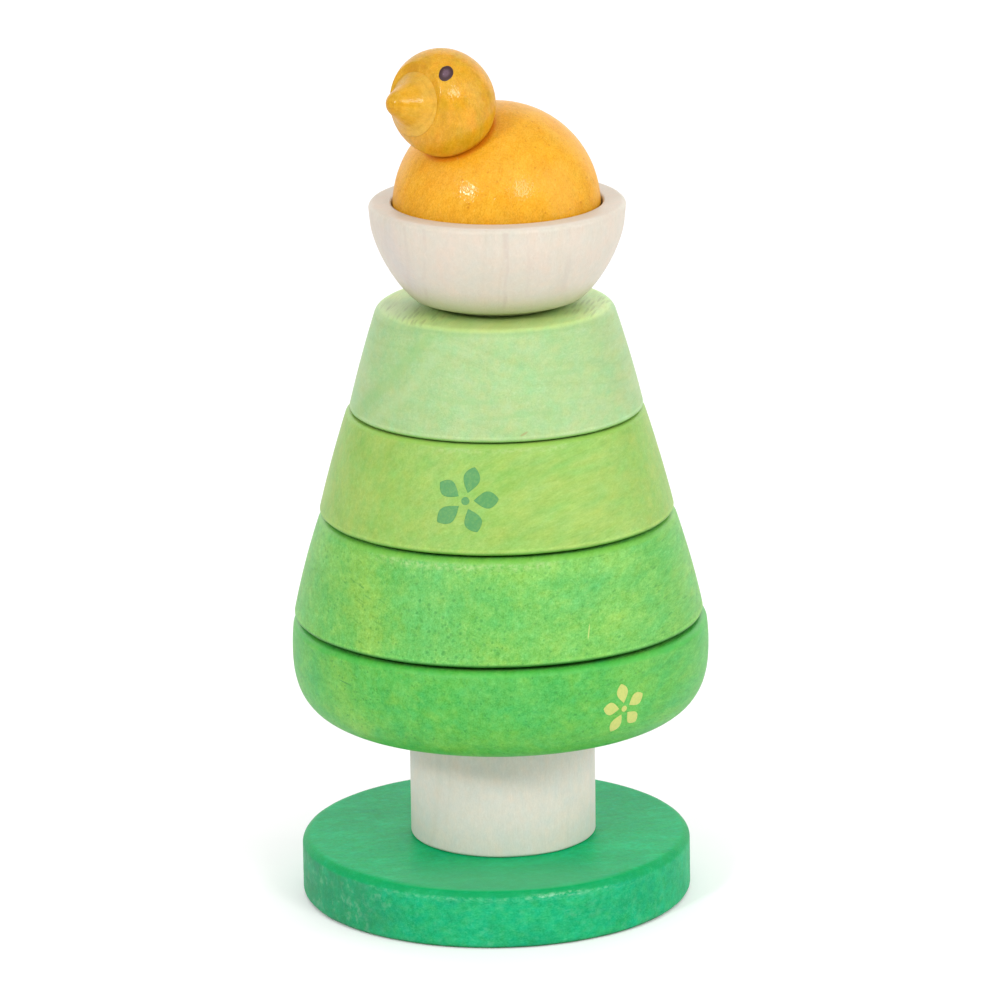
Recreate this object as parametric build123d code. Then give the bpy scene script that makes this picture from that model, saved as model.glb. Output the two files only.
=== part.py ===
from build123d import *
import math
import os

# Wooden stacking tree with a bird in a nest on top.
# Millimetres, +Z up. The origin is on the floor, on the centre line of the peg.

# ---- driving dimensions -------------------------------------------------
# base disc
base_r = 42.85            # outside radius
base_h = 13.2             # thickness
base_offset_x = -1.5      # the disc stands a little off the peg's centre line
base_top_round = 2.0      # worn, rounded top edge
base_bottom_round = 0.6

# trunk
trunk_r = 20.4
trunk_top_z = 41.3
trunk_edge_round = 0.5

# centre peg: a turned dowel, glued in the base and the trunk
peg_r = 8.0
peg_bottom_z = 3.0        # blind bore in the base, so its underside stays whole
peg_top_z = 137.4
peg_top_round = 2.5
glue_gap = 0.05           # radial room for glue round a dowel

# rings: bore over the peg
bore_r = 8.6
bore_chamfer = 0.9
ring_h = (87.0 - 63.9)    # common thickness of the three tapered rings

# bottom ring: flat underside, full rounded lower edge
r4_z0, r4_z1 = trunk_top_z, 63.9
r4_flat_r = 32.0          # where the flat underside turns up
r4_max_r = 45.67          # widest
r4_max_z = 57.0
r4_power = 2.45           # squareness of the lower curve
r4_top_r = 45.0
r4_top_round = 2.5

# tapered rings: radius at the bottom, half way up and at the top, top edge round
r3_z0 = r4_z1
r3_radii, r3_round = (44.88, 42.13, 38.56), 3.6
r2_z0 = r3_z0 + ring_h
r2_radii, r2_round = (38.84, 35.83, 32.32), 1.2
r1_z0 = r2_z0 + ring_h
r1_radii, r1_round = (32.12, 29.12, 25.59), 2.0
ring_bottom_round = 0.6
r1_z1 = r1_z0 + ring_h    # top of the top ring

# nest: a turned bowl with a hole in its floor
nest_z0 = r1_z1
nest_rim_z = nest_z0 + 22.75
nest_foot_r = 15.3
nest_max_r = 27.45
nest_max_z = nest_z0 + 18.7
nest_power = 1.47
nest_rim_r = 27.35
nest_floor_z = nest_z0 + 4.6
nest_foot_round = 1.2
nest_rim_round = 0.9

# bird
body_r = 22.5
body_z = nest_rim_z - 1.05            # centre of the ball
body_clear = 0.5                      # round the ball in the bowl
body_flat_z = nest_floor_z            # the ball stands on a flat
neck_azimuth = -132.0                 # degrees from +X, seen from above
neck_elevation = 57.4
head_distance = 29.94                 # centre of the ball to centre of the head
head_r = 11.25                        # across the neck line
head_long_r = 12.0                    # along the neck line
neck_face = 21.15                     # ball centre to the glued face
beak_azimuth = -135.3
beak_elevation = 10.9
beak_drop = 0.6                       # beak's axis below the head's centre
beak_seat = 8.67                      # head centre to the flat that the beak is glued on
beak_base_r = 5.05
beak_shoulder = 1.66                  # height of the straight part
beak_half_angle = 30.3
beak_tip_r = 2.9
beak_apex = 18.85                     # head centre to the point where the cone would end
tenon_r, tenon_len = 2.5, 5.5
neck_dowel_r = 3.0
neck_in_body, neck_in_head = 9.0, 7.0

os.makedirs("parts", exist_ok=True)


# ---- helpers ------------------------------------------------------------
def P(x, z):
    return Vector(x, 0, z)


def line(a, b):
    return Edge.make_line(a, b)


def arc(a, m, b):
    return Edge.make_three_point_arc(a, m, b)


def turned(edges, rounds=()):
    """Revolve a closed outline in the XZ plane; rounds are (x, z, radius) corners."""
    face = Face(Wire(edges))
    for x, z, r in rounds:
        v = min(face.vertices(), key=lambda q: (q.X - x) ** 2 + (q.Z - z) ** 2)
        face = face.fillet_2d(r, [v])
    return revolve(face, axis=Axis.Z, revolution_arc=360)


def superellipse(r0, z0, r1, z1, n, count):
    """Points from (r0, z0), where it is level, to (r1, z1), where it is upright."""
    pts = []
    for i in range(count + 1):
        t = math.pi / 2 * (1 - i / count)
        c, s = max(math.cos(t), 0.0), max(math.sin(t), 0.0)
        pts.append(P(r0 + (r1 - r0) * c ** (2 / n), z1 - (z1 - z0) * s ** (2 / n)))
    return pts


def direction(az, el):
    a, e = math.radians(az), math.radians(el)
    return Vector(math.cos(e) * math.cos(a), math.cos(e) * math.sin(a), math.sin(e))


def along(origin, d):
    """Plane whose Z is the direction d, for a piece turned about d."""
    return Plane(origin=origin, z_dir=d)


def save(part, name):
    part.label = name
    export_step(part, "parts/%s.step" % name)


# ---- base ---------------------------------------------------------------
base = Pos(base_offset_x, 0, 0) * turned(
    [line(P(0, 0), P(base_r, 0)), line(P(base_r, 0), P(base_r, base_h)),
     line(P(base_r, base_h), P(0, base_h)), line(P(0, base_h), P(0, 0))],
    [(base_r, 0, base_bottom_round), (base_r, base_h, base_top_round)])
base -= Pos(0, 0, peg_bottom_z) * Cylinder(
    peg_r + glue_gap, base_h, align=(Align.CENTER, Align.CENTER, Align.MIN))
save(base, "base_disc")

trunk = turned(
    [line(P(peg_r + glue_gap, base_h), P(trunk_r, base_h)),
     line(P(trunk_r, base_h), P(trunk_r, trunk_top_z)),
     line(P(trunk_r, trunk_top_z), P(peg_r + glue_gap, trunk_top_z)),
     line(P(peg_r + glue_gap, trunk_top_z), P(peg_r + glue_gap, base_h))],
    [(trunk_r, base_h, 0.3), (trunk_r, trunk_top_z, trunk_edge_round)])
save(trunk, "trunk")

peg = turned(
    [line(P(0, peg_bottom_z), P(peg_r, peg_bottom_z)),
     line(P(peg_r, peg_bottom_z), P(peg_r, peg_top_z)),
     line(P(peg_r, peg_top_z), P(0, peg_top_z)), line(P(0, peg_top_z), P(0, peg_bottom_z))],
    [(peg_r, peg_bottom_z, 0.8), (peg_r, peg_top_z, peg_top_round)])
save(peg, "centre_peg")


# ---- rings --------------------------------------------------------------
def bore_lines(z0, z1):
    """Inside of a ring: bore with a small chamfer at each end."""
    a, b = P(bore_r + bore_chamfer, z1), P(bore_r, z1 - bore_chamfer)
    c, d = P(bore_r, z0 + bore_chamfer), P(bore_r + bore_chamfer, z0)
    return a, [line(a, b), line(b, c), line(c, d)], d


def tapered_ring(z0, radii, top_round):
    z1 = z0 + ring_h
    top_in, inner, bottom_in = bore_lines(z0, z1)
    rb, rm, rt = radii
    edges = [line(bottom_in, P(rb, z0)),
             arc(P(rb, z0), P(rm, (z0 + z1) / 2), P(rt, z1)),
             line(P(rt, z1), top_in)] + inner
    return turned(edges, [(rb, z0, ring_bottom_round), (rt, z1, top_round)])


top_in, inner, bottom_in = bore_lines(r4_z0, r4_z1)
belly = superellipse(r4_flat_r, r4_z0, r4_max_r, r4_max_z, r4_power, 8)
bottom_ring = turned(
    [line(bottom_in, belly[0]),
     Edge.make_spline(belly, tangents=[Vector(1, 0, 0), Vector(0, 0, 1)]),
     Edge.make_tangent_arc(belly[-1], Vector(0, 0, 1), P(r4_top_r, r4_z1)),
     line(P(r4_top_r, r4_z1), top_in)] + inner,
    [(r4_top_r, r4_z1, r4_top_round)])
save(bottom_ring, "bottom_ring")
save(tapered_ring(r3_z0, r3_radii, r3_round), "lower_ring")
save(tapered_ring(r2_z0, r2_radii, r2_round), "upper_ring")
save(tapered_ring(r1_z0, r1_radii, r1_round), "top_ring")

# ---- nest ---------------------------------------------------------------
cup_r = body_r + body_clear
floor_r = math.sqrt(cup_r ** 2 - (body_z - nest_floor_z) ** 2)
lip_r = math.sqrt(cup_r ** 2 - (nest_rim_z - body_z) ** 2)
mid_a = math.radians(-24.0)
wall = superellipse(nest_foot_r, nest_z0, nest_max_r, nest_max_z, nest_power, 8)
top_in, inner, bottom_in = bore_lines(nest_z0, nest_floor_z)
nest = turned(
    [line(bottom_in, wall[0]),
     Edge.make_spline(wall),
     line(wall[-1], P(nest_rim_r, nest_rim_z)),
     line(P(nest_rim_r, nest_rim_z), P(lip_r, nest_rim_z)),
     arc(P(lip_r, nest_rim_z), P(cup_r * math.cos(mid_a), body_z + cup_r * math.sin(mid_a)),
         P(floor_r, nest_floor_z)),
     line(P(floor_r, nest_floor_z), top_in)] + inner,
    [(nest_foot_r, nest_z0, nest_foot_round), (nest_rim_r, nest_rim_z, nest_rim_round),
     (lip_r, nest_rim_z, 0.6)])
save(nest, "nest_bowl")

# ---- bird ---------------------------------------------------------------
centre = Vector(0, 0, body_z)
neck = direction(neck_azimuth, neck_elevation)
head_centre = centre + neck * head_distance
beak_dir = direction(beak_azimuth, beak_elevation)
beak_line = head_centre - Vector(0, 0, beak_drop)

flat_r = math.sqrt(body_r ** 2 - (body_z - body_flat_z) ** 2)
ball = turned(
    [line(P(0, body_flat_z), P(flat_r, body_flat_z)),
     arc(P(flat_r, body_flat_z), P(body_r, body_z), P(0, body_z + body_r)),
     line(P(0, body_z + body_r), P(0, body_flat_z))],
    [(flat_r, body_flat_z, 0.8)])
neck_plane = along(centre + neck * neck_face, neck)
ball -= neck_plane * Cylinder(30, 10, align=(Align.CENTER, Align.CENTER, Align.MIN))
ball -= neck_plane * Cylinder(neck_dowel_r + glue_gap, neck_in_body,
                              align=(Align.CENTER, Align.CENTER, Align.MAX))
save(ball, "bird_body")

# the head is turned about the neck line, a little longer than it is wide
meridian = [P(head_r * math.cos(math.radians(a)), head_long_r * math.sin(math.radians(a)))
            for a in range(-90, 91, 15)]
meridian[0], meridian[-1] = P(0, -head_long_r), P(0, head_long_r)
egg = turned([Edge.make_spline(meridian, tangents=[Vector(1, 0, 0), Vector(-1, 0, 0)]),
              line(meridian[-1], meridian[0])])
head = along(head_centre, neck) * egg
head -= neck_plane * Cylinder(30, 30, align=(Align.CENTER, Align.CENTER, Align.MAX))
head -= neck_plane * Cylinder(neck_dowel_r + glue_gap, neck_in_head,
                              align=(Align.CENTER, Align.CENTER, Align.MIN))
seat_plane = along(beak_line + beak_dir * beak_seat, beak_dir)
head -= seat_plane * Cylinder(30, 30, align=(Align.CENTER, Align.CENTER, Align.MIN))
head -= seat_plane * Cylinder(tenon_r + glue_gap, tenon_len + 0.3,
                              align=(Align.CENTER, Align.CENTER, Align.MAX))
save(head, "bird_head")

# beak: straight shoulder, cone, ball-shaped tip, and a tenon into the head
ha = math.radians(beak_half_angle)
shoulder_r = (beak_apex - beak_seat - beak_shoulder) * math.tan(ha)
tip_c = beak_apex - beak_seat - beak_tip_r / math.sin(ha)
join_r, join_z = beak_tip_r * math.cos(ha), tip_c + beak_tip_r * math.sin(ha)
tip_a = math.radians(60.0)
beak = turned(
    [line(P(0, -tenon_len), P(tenon_r, -tenon_len)), line(P(tenon_r, -tenon_len), P(tenon_r, 0)),
     line(P(tenon_r, 0), P(beak_base_r, 0)), line(P(beak_base_r, 0), P(shoulder_r, beak_shoulder)),
     line(P(shoulder_r, beak_shoulder), P(join_r, join_z)),
     arc(P(join_r, join_z),
         P(beak_tip_r * math.cos(tip_a), tip_c + beak_tip_r * math.sin(tip_a)),
         P(0, tip_c + beak_tip_r)),
     line(P(0, tip_c + beak_tip_r), P(0, -tenon_len))],
    [(shoulder_r, beak_shoulder, 0.7), (tenon_r, -tenon_len, 0.4)])
save(seat_plane * beak, "bird_beak")

dowel_len = neck_in_body + neck_in_head - 0.4
dowel = turned(
    [line(P(0, 0), P(neck_dowel_r, 0)), line(P(neck_dowel_r, 0), P(neck_dowel_r, dowel_len)),
     line(P(neck_dowel_r, dowel_len), P(0, dowel_len)), line(P(0, dowel_len), P(0, 0))],
    [(neck_dowel_r, 0, 0.5), (neck_dowel_r, dowel_len, 0.5)])
save(along(centre + neck * (neck_face - neck_in_body), neck) * dowel, "neck_dowel")

print("head centre", head_centre, "neck", neck, "beak", beak_dir)
print("beak seat centre", beak_line + beak_dir * beak_seat, "shoulder r", round(shoulder_r, 3),
      "beak height", round(tip_c + beak_tip_r, 3))
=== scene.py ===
import bpy
import math
import numpy as np
from mathutils import Matrix, Vector, noise


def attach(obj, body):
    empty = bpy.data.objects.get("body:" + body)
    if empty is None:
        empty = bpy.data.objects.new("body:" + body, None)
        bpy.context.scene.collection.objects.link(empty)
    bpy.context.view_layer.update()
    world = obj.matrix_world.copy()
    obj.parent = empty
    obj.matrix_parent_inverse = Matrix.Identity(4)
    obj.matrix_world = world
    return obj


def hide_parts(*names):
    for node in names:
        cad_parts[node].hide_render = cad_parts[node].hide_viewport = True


# Wooden stacking tree with a bird in a nest. Profiles are in millimetres, as (radius, height);
# meshes are in metres. +Z up, the viewer of the front stands at -Y.

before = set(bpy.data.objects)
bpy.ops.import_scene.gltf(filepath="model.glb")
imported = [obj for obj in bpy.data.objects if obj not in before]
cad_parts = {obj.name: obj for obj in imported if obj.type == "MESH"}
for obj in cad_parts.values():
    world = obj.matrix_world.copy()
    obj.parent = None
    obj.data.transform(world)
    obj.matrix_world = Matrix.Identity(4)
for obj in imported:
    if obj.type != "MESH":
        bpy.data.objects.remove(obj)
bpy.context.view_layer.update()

MM = 0.001
AROUND = 256              # steps round a turned piece

# ---- driving dimensions (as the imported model) ------------------------------
BASE_R, BASE_H, BASE_X = 42.85, 13.2, -1.5
TRUNK_R, TRUNK_TOP = 20.4, 41.3
PEG_R, PEG_TOP = 8.0, 137.4
BORE_R, CHAMFER, RING_H = 8.6, 0.9, 23.1
R4_Z1 = 63.9
RINGS = {   # bottom height, radii at the bottom, half way and top, top edge round, rim relief
    "lower_ring": (63.9, (44.88, 42.13, 38.56), 2.0, 0.6),
    "upper_ring": (87.0, (38.84, 35.83, 32.32), 1.2, 0.27),
    "top_ring": (110.1, (32.12, 29.12, 25.59), 2.6, 0.0),
}
NEST_Z, NEST_RIM, NEST_FLOOR = 133.2, 155.95, 137.8
BODY_R, BODY_Z, CUP_R = 22.5, 154.9, 22.8
HEAD_C = Vector((-10.7940, -11.9880, 180.1228))
NECK = Vector((math.cos(math.radians(57.4)) * math.cos(math.radians(-132.0)),
               math.cos(math.radians(57.4)) * math.sin(math.radians(-132.0)),
               math.sin(math.radians(57.4))))
BEAK = Vector((math.cos(math.radians(10.9)) * math.cos(math.radians(-135.3)),
               math.cos(math.radians(10.9)) * math.sin(math.radians(-135.3)),
               math.sin(math.radians(10.9))))
NECK_FACE, HEAD_DIST = 21.15, 29.94
HEAD_R, HEAD_LONG = 11.25, 12.0
BEAK_SEAT, BEAK_DROP = 8.67, 0.6

# the loose pieces don't stand exactly on the peg's centre line
SHIFT = {"base_disc": -0.12, "bottom_ring": -0.07, "lower_ring": -0.37, "upper_ring": -0.5,
         "top_ring": -0.27, "nest_bowl": 0.47, "bird_body": 0.37}


# ---- profiles ---------------------------------------------------------------
def line(a, b, n=40):
    return [(a[0] + (b[0] - a[0]) * i / n, a[1] + (b[1] - a[1]) * i / n) for i in range(n + 1)]


def arc3(a, m, b, n=160):
    """Circular arc from a through m to b."""
    ax, ay, bx, by, cx, cy = *a, *m, *b
    d = 2 * (ax * (by - cy) + bx * (cy - ay) + cx * (ay - by))
    ux = ((ax**2 + ay**2) * (by - cy) + (bx**2 + by**2) * (cy - ay)
          + (cx**2 + cy**2) * (ay - by)) / d
    uy = ((ax**2 + ay**2) * (cx - bx) + (bx**2 + by**2) * (ax - cx)
          + (cx**2 + cy**2) * (bx - ax)) / d
    r = math.hypot(ax - ux, ay - uy)
    t0, tm, t1 = (math.atan2(p[1] - uy, p[0] - ux) for p in (a, m, b))
    turn = (t1 - t0) % (2 * math.pi)
    if (tm - t0) % (2 * math.pi) > turn:
        turn -= 2 * math.pi
    return [(ux + r * math.cos(t0 + turn * i / n), uy + r * math.sin(t0 + turn * i / n))
            for i in range(n + 1)]


def superellipse(r0, z0, r1, z1, n, count=200):
    pts = []
    for i in range(count + 1):
        t = math.pi / 2 * (1 - i / count)
        c, s = max(math.cos(t), 0.0), max(math.sin(t), 0.0)
        pts.append((r0 + (r1 - r0) * c ** (2 / n), z1 - (z1 - z0) * s ** (2 / n)))
    return pts


def lengths(pts):
    s = [0.0]
    for a, b in zip(pts, pts[1:]):
        s.append(s[-1] + math.dist(a, b))
    return s


def at_length(pts, s, x):
    x = min(max(x, 0.0), s[-1])
    k = min(int(np.searchsorted(s, x, side="right")) - 1, len(pts) - 2)
    t = (x - s[k]) / max(s[k + 1] - s[k], 1e-12)
    return (pts[k][0] + (pts[k + 1][0] - pts[k][0]) * t,
            pts[k][1] + (pts[k + 1][1] - pts[k][1]) * t)


def heading(pts, at_end):
    s = lengths(pts)
    a, b = (s[-1] - 0.02, s[-1]) if at_end else (0.0, 0.02)
    p, q = at_length(pts, s, a), at_length(pts, s, b)
    d = math.dist(p, q)
    return ((q[0] - p[0]) / d, (q[1] - p[1]) / d)


def cut(pts, start, end):
    """The stretch of pts between two lengths, finely spaced."""
    s = lengths(pts)
    n = max(60, int((end - start) / 0.05))
    return [at_length(pts, s, start + (end - start) * i / n) for i in range(n + 1)]


def stations(total, fine, coarse, grow=1.45):
    half, left, step = total / 2, [0.0], fine
    while left[-1] + step < half:
        left.append(left[-1] + step)
        step = min(step * grow, coarse)
    if len(left) == 1:
        return [0.0, total]
    k = half / left[-1]
    left = [x * k for x in left]
    return left[:-1] + [half] + [total - x for x in reversed(left[:-1])]


def outline(parts, closed=True):
    """Rounds the corners of a profile. parts holds (chart, points, corner radius at its end,
    coarse spacing). Returns the points, the chart of each stretch and the wear at each point:
    positive at corners, for rubbed edges; negative at the corner between a side and the top,
    where the materials paint light and shade."""
    n = len(parts)
    trims = [[0.0, lengths(p[1])[-1]] for p in parts]
    corners = []
    for i, (chart, pts, radius, _) in enumerate(parts):
        if radius <= 0 or (not closed and i == n - 1):
            corners.append(None)
            continue
        j = (i + 1) % n
        d1, d2 = heading(pts, True), heading(parts[j][1], False)
        turn = math.acos(max(-1.0, min(1.0, d1[0] * d2[0] + d1[1] * d2[1])))
        t = radius * math.tan(turn / 2)
        trims[i][1] -= t
        trims[j][0] += t
        corners.append((radius, turn))
    out, charts, wear = [], [], []
    for i, (chart, pts, radius, coarse) in enumerate(parts):
        body = cut(pts, *trims[i])
        s = lengths(body)
        fine = 0.25 if s[-1] > 2 else max(s[-1] / 4, 0.03)
        for k, x in enumerate(stations(s[-1], fine, coarse)):
            if k == 0 and out:
                continue
            out.append(at_length(body, s, x))
            wear.append(0.0)
            if len(out) > 1:
                charts.append(chart)
        if corners[i]:
            radius, turn = corners[i]
            j = (i + 1) % n
            nxt = cut(parts[j][1], *trims[j])
            p0, p3 = body[-1], nxt[0]
            d1, d2 = heading(body, True), heading(nxt, False)
            local = math.acos(max(-1.0, min(1.0, d1[0] * d2[0] + d1[1] * d2[1])))
            h = 4 / 3 * math.tan(local / 4) * radius
            steps = max(3, min(14, int(math.degrees(local) / 8)))
            p1 = (p0[0] + d1[0] * h, p0[1] + d1[1] * h)
            p2 = (p3[0] - d2[0] * h, p3[1] - d2[1] * h)
            mine = parts[i][0] if parts[i][0] == "side" else parts[j][0]
            if "side" in (parts[i][0], parts[j][0]):
                mine = "side"
            sign = -1.0 if (parts[i][0], parts[j][0]) == ("side", "top") else 1.0
            for k in range(1, steps + 1):
                t = k / steps
                c = [(1 - t)**3, 3 * t * (1 - t)**2, 3 * t * t * (1 - t), t**3]
                out.append(tuple(c[0] * a + c[1] * b + c[2] * cc + c[3] * d
                                 for a, b, cc, d in zip(p0, p1, p2, p3)))
                charts.append(mine)
                wear.append(sign * math.sin(math.pi * min(t, 1 - 1e-6)) if turn > 0.5 else 0.0)
    if closed:
        out.pop()
        last = wear.pop()
        wear[0] = last if abs(last) > abs(wear[0]) else wear[0]
    return out, charts, wear


SHARE = {"side": 0.62, "top": 0.2, "bottom": 0.1, "bore": 0.08}


def ripple(seed, x, y, z, scale):
    """Smooth noise from 0 to 1 at a point in mm."""
    v = noise.noise(Vector((x / scale + seed * 7.31, y / scale - seed * 3.7, z / scale + seed)))
    return min(max(0.5 + 0.75 * v, 0.0), 1.0)


class Turned:
    """A piece turned from a profile, as one closed mesh of quads."""

    def __init__(self, name, parts, closed=True, shares=None, uneven=0.05, seed=1.0,
                 origin=(0.0, 0.0, 0.0), axis=(0.0, 0.0, 1.0), around=AROUND, still=()):
        self.name, self.seed, self.uneven = name, seed, uneven
        self.pts, self.charts, self.wear = outline(parts, closed)
        self.closed, self.around, self.still = closed, around, set(still)
        axis = Vector(axis).normalized()
        q = Vector((0, 0, 1)).rotation_difference(axis)
        self.matrix = Matrix.Translation(Vector(origin)) @ q.to_matrix().to_4x4()
        self.shares = shares or SHARE
        self.normals = self._normals()

    def _normals(self):
        n, out = len(self.pts), []
        for i in range(n):
            a = self.pts[(i - 1) % n] if self.closed or i else self.pts[0]
            b = self.pts[(i + 1) % n] if self.closed or i < n - 1 else self.pts[-1]
            d = math.dist(a, b) or 1.0
            out.append(((b[1] - a[1]) / d, -(b[0] - a[0]) / d))
        return out

    def dent(self, phi, r, z, flat):
        """How far the surface lies inside the true profile, in mm: never outside it."""
        if flat or self.uneven == 0:
            return 0.0
        x, y = r * math.cos(phi), r * math.sin(phi)
        a = ripple(self.seed, x, y, z, 17.0)
        b = ripple(self.seed + 5, x, y, z * 1.6, 5.5)
        return self.uneven * (0.75 * a + 0.25 * b)

    def point(self, phi, k):
        r, z = self.pts[k]
        nr, nz = self.normals[k]
        chart = self.charts[k % len(self.charts)]
        before = self.charts[(k - 1) % len(self.charts)]
        flat = chart != "side" and before != "side"
        w = abs(self.wear[k])
        d = self.dent(phi, r, z, flat)
        if w > 0 and not flat:      # corners are sanded unevenly
            d += self.uneven * 2.2 * w * ripple(self.seed + 11, r * math.cos(phi) * 1.0,
                                                r * math.sin(phi), z, 6.0)
        return (r - nr * d, z - nz * d)

    def build(self):
        n, m = len(self.pts), self.around
        ring = [math.pi / 2 + 2 * math.pi * i / m for i in range(m)]
        verts, index, wear = [], {}, []
        for k in range(n):
            r, z = self.pts[k]
            if r < 1e-6:
                index[k] = [len(verts)] * m
                verts.append((0.0, 0.0, z))
                wear.append(0.0)
                continue
            index[k] = list(range(len(verts), len(verts) + m))
            for phi in ring:
                rr, zz = self.point(phi, k)
                verts.append((rr * math.cos(phi), rr * math.sin(phi), zz))
                wear.append(self.wear[k])
        # charts: strips round the piece, stacked in the map
        total = {}
        for k, chart in enumerate(self.charts):
            a, b = self.pts[k], self.pts[(k + 1) % n]
            total[chart] = total.get(chart, 0.0) + math.dist(a, b)
        used = [c for c in ("side", "top", "bottom", "bore") if c in total]
        span = sum(self.shares[c] for c in used)
        low, room = {}, {}
        at = 0.004
        for c in used:
            room[c] = self.shares[c] / span * 0.992 - 0.01
            low[c] = at
            at += room[c] + 0.01
        run = dict.fromkeys(used, 0.0)
        faces, uvs = [], []
        for k, chart in enumerate(self.charts):
            k2 = (k + 1) % n
            d = math.dist(self.pts[k], self.pts[k2])
            v0 = low[chart] + room[chart] * run[chart] / total[chart]
            run[chart] += d
            v1 = low[chart] + room[chart] * run[chart] / total[chart]
            for i in range(m):
                j = (i + 1) % m
                u0, u1 = 0.004 + 0.992 * i / m, 0.004 + 0.992 * (i + 1) / m
                a, b, c, e = index[k][i], index[k][j], index[k2][j], index[k2][i]
                if a == b:
                    faces.append((a, c, e))
                    uvs += [((u0 + u1) / 2, v0), (u1, v1), (u0, v1)]
                elif c == e:
                    faces.append((a, b, c))
                    uvs += [(u0, v0), (u1, v0), ((u0 + u1) / 2, v1)]
                else:
                    faces.append((a, b, c, e))
                    uvs += [(u0, v0), (u1, v0), (u1, v1), (u0, v1)]
        mesh_verts = [self.matrix @ Vector(v) for v in verts]
        return make_mesh(self.name, mesh_verts, faces, uvs, wear)


def make_mesh(name, verts, faces, uvs=None, wear=None):
    me = bpy.data.meshes.new(name)
    me.from_pydata([tuple(c * MM for c in v) for v in verts], [], faces)
    if uvs is not None:
        layer = me.uv_layers.new(name="OFBake")
        layer.data.foreach_set("uv", np.array(uvs, float).ravel())
    if wear is not None:
        a = me.attributes.new("wear", "FLOAT", "POINT")
        a.data.foreach_set("value", np.array(wear, float))
    me.validate()
    me.update()
    me.shade_smooth()
    o = bpy.data.objects.new(name, me)
    bpy.context.collection.objects.link(o)
    return o


def moved(o, dx):
    """Shifts the mesh itself, so that the object stays at the origin."""
    o.data.transform(Matrix.Translation((dx * MM, 0, 0)))
    return o


# ---- turned pieces ----------------------------------------------------------
def bore(z0, z1, r=BORE_R, ch=CHAMFER):
    return [("bore", line((r + ch, z1), (r, z1 - ch)), 0.25, 0.6),
            ("bore", line((r, z1 - ch), (r, z0 + ch)), 0.25, 2.5),
            ("bore", line((r, z0 + ch), (r + ch, z0)), 0.2, 0.6)]


def between(pts, lo, hi):
    """The part of a rising profile between two heights."""
    def at(z):
        k = next(i for i, p in enumerate(pts) if p[1] > z - 1e-9)
        if k == 0:
            return pts[0]
        a, b = pts[k - 1], pts[k]
        t = (z - a[1]) / (b[1] - a[1])
        return (a[0] + (b[0] - a[0]) * t, z)
    return [at(lo)] + [p for p in pts if lo < p[1] < hi] + [at(hi)]


def rim(edge, z, relief, reach=8.0):
    """A level top that dips by relief towards its edge, so that the piece on it stands on its
    middle and the joint at the rim is a fine dark gap. Runs from the edge inwards."""
    if relief == 0:
        return [("top", line(edge, (BORE_R + CHAMFER, z)), 0.2, 1.4)]
    r = edge[0] - reach
    return [("top", line(edge, (r + 2.5, edge[1])), 0.0, 1.0),
            ("top", line((r + 2.5, edge[1]), (r - 1.5, z)), 0.0, 1.0),
            ("top", line((r - 1.5, z), (BORE_R + CHAMFER, z)), 0.2, 1.4)]


def tapered(name, seed):
    """A crown ring."""
    z0, (rb, rm, rt), top_round, relief = RINGS[name]
    z1 = z0 + RING_H
    inner = BORE_R + CHAMFER
    flank = between(arc3((rb, z0), (rm, (z0 + z1) / 2), (rt, z1)), z0 + 0.06, z1 - relief)
    return Turned(name, [
        ("bottom", line((inner, z0), (rb - 7.0, z0)), 0.0, 2.2),
        ("bottom", line((rb - 7.0, z0), flank[0]), 0.6, 1.4),
        ("side", flank, top_round, 0.8)] + rim(flank[-1], z1, relief) + bore(z0, z1), seed=seed)


shown = {}

base = Turned("base_disc_skin", [
    ("bottom", line((0, 0), (BASE_R, 0)), 1.3, 2.5),
    ("side", line((BASE_R, 0), (BASE_R, BASE_H)), 2.0, 0.7),
    ("top", line((BASE_R, BASE_H), (0, BASE_H)), 0.0, 1.0)],
    closed=False, shares={"side": 0.42, "top": 0.46, "bottom": 0.12}, seed=2.0)
shown["base_disc"] = base

# the flat top of the bottom ring's outline is level, its lower edge is one full curve
belly = superellipse(32.0, TRUNK_TOP, 45.67, 57.0, 2.62)
shoulder_end = (45.0, R4_Z1)
dx, dz = shoulder_end[0] - 45.67, shoulder_end[1] - 57.0
rad = (dx * dx + dz * dz) / (2 * -dx)            # arc that leaves the belly upright
ang = math.asin(dz / rad)
shoulder = [(45.67 - rad + rad * math.cos(ang * i / 60), 57.0 + rad * math.sin(ang * i / 60))
            for i in range(61)]
shown["bottom_ring"] = Turned("bottom_ring_skin", [
    ("bottom", line((BORE_R + CHAMFER, TRUNK_TOP), (32.0, TRUNK_TOP)), 0.0, 2.0),
    ("side", between(belly + shoulder[1:], TRUNK_TOP, R4_Z1 - 0.75), 1.8, 0.8)]
    + rim((between(shoulder, 58.0, R4_Z1 - 0.75)[-1]), R4_Z1, 0.75)
    + bore(TRUNK_TOP, R4_Z1), seed=3.0)
for n, s in (("lower_ring", 4.0), ("upper_ring", 5.0), ("top_ring", 6.0)):
    t = tapered(n, s)
    t.name = n + "_skin"
    shown[n] = t

shown["trunk"] = Turned("trunk_skin", [
    ("bottom", line((PEG_R + 0.05, BASE_H), (TRUNK_R, BASE_H)), 0.6, 2.2),
    ("side", line((TRUNK_R, BASE_H), (TRUNK_R, TRUNK_TOP)), 0.5, 0.8),
    ("top", line((TRUNK_R, TRUNK_TOP), (PEG_R + 0.05, TRUNK_TOP)), 0.1, 1.2),
    ("bore", line((PEG_R + 0.05, TRUNK_TOP), (PEG_R + 0.05, BASE_H)), 0.1, 4.0)],
    seed=7.0, uneven=0.04, shares={"side": 0.68, "top": 0.2, "bottom": 0.07, "bore": 0.05})

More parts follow.
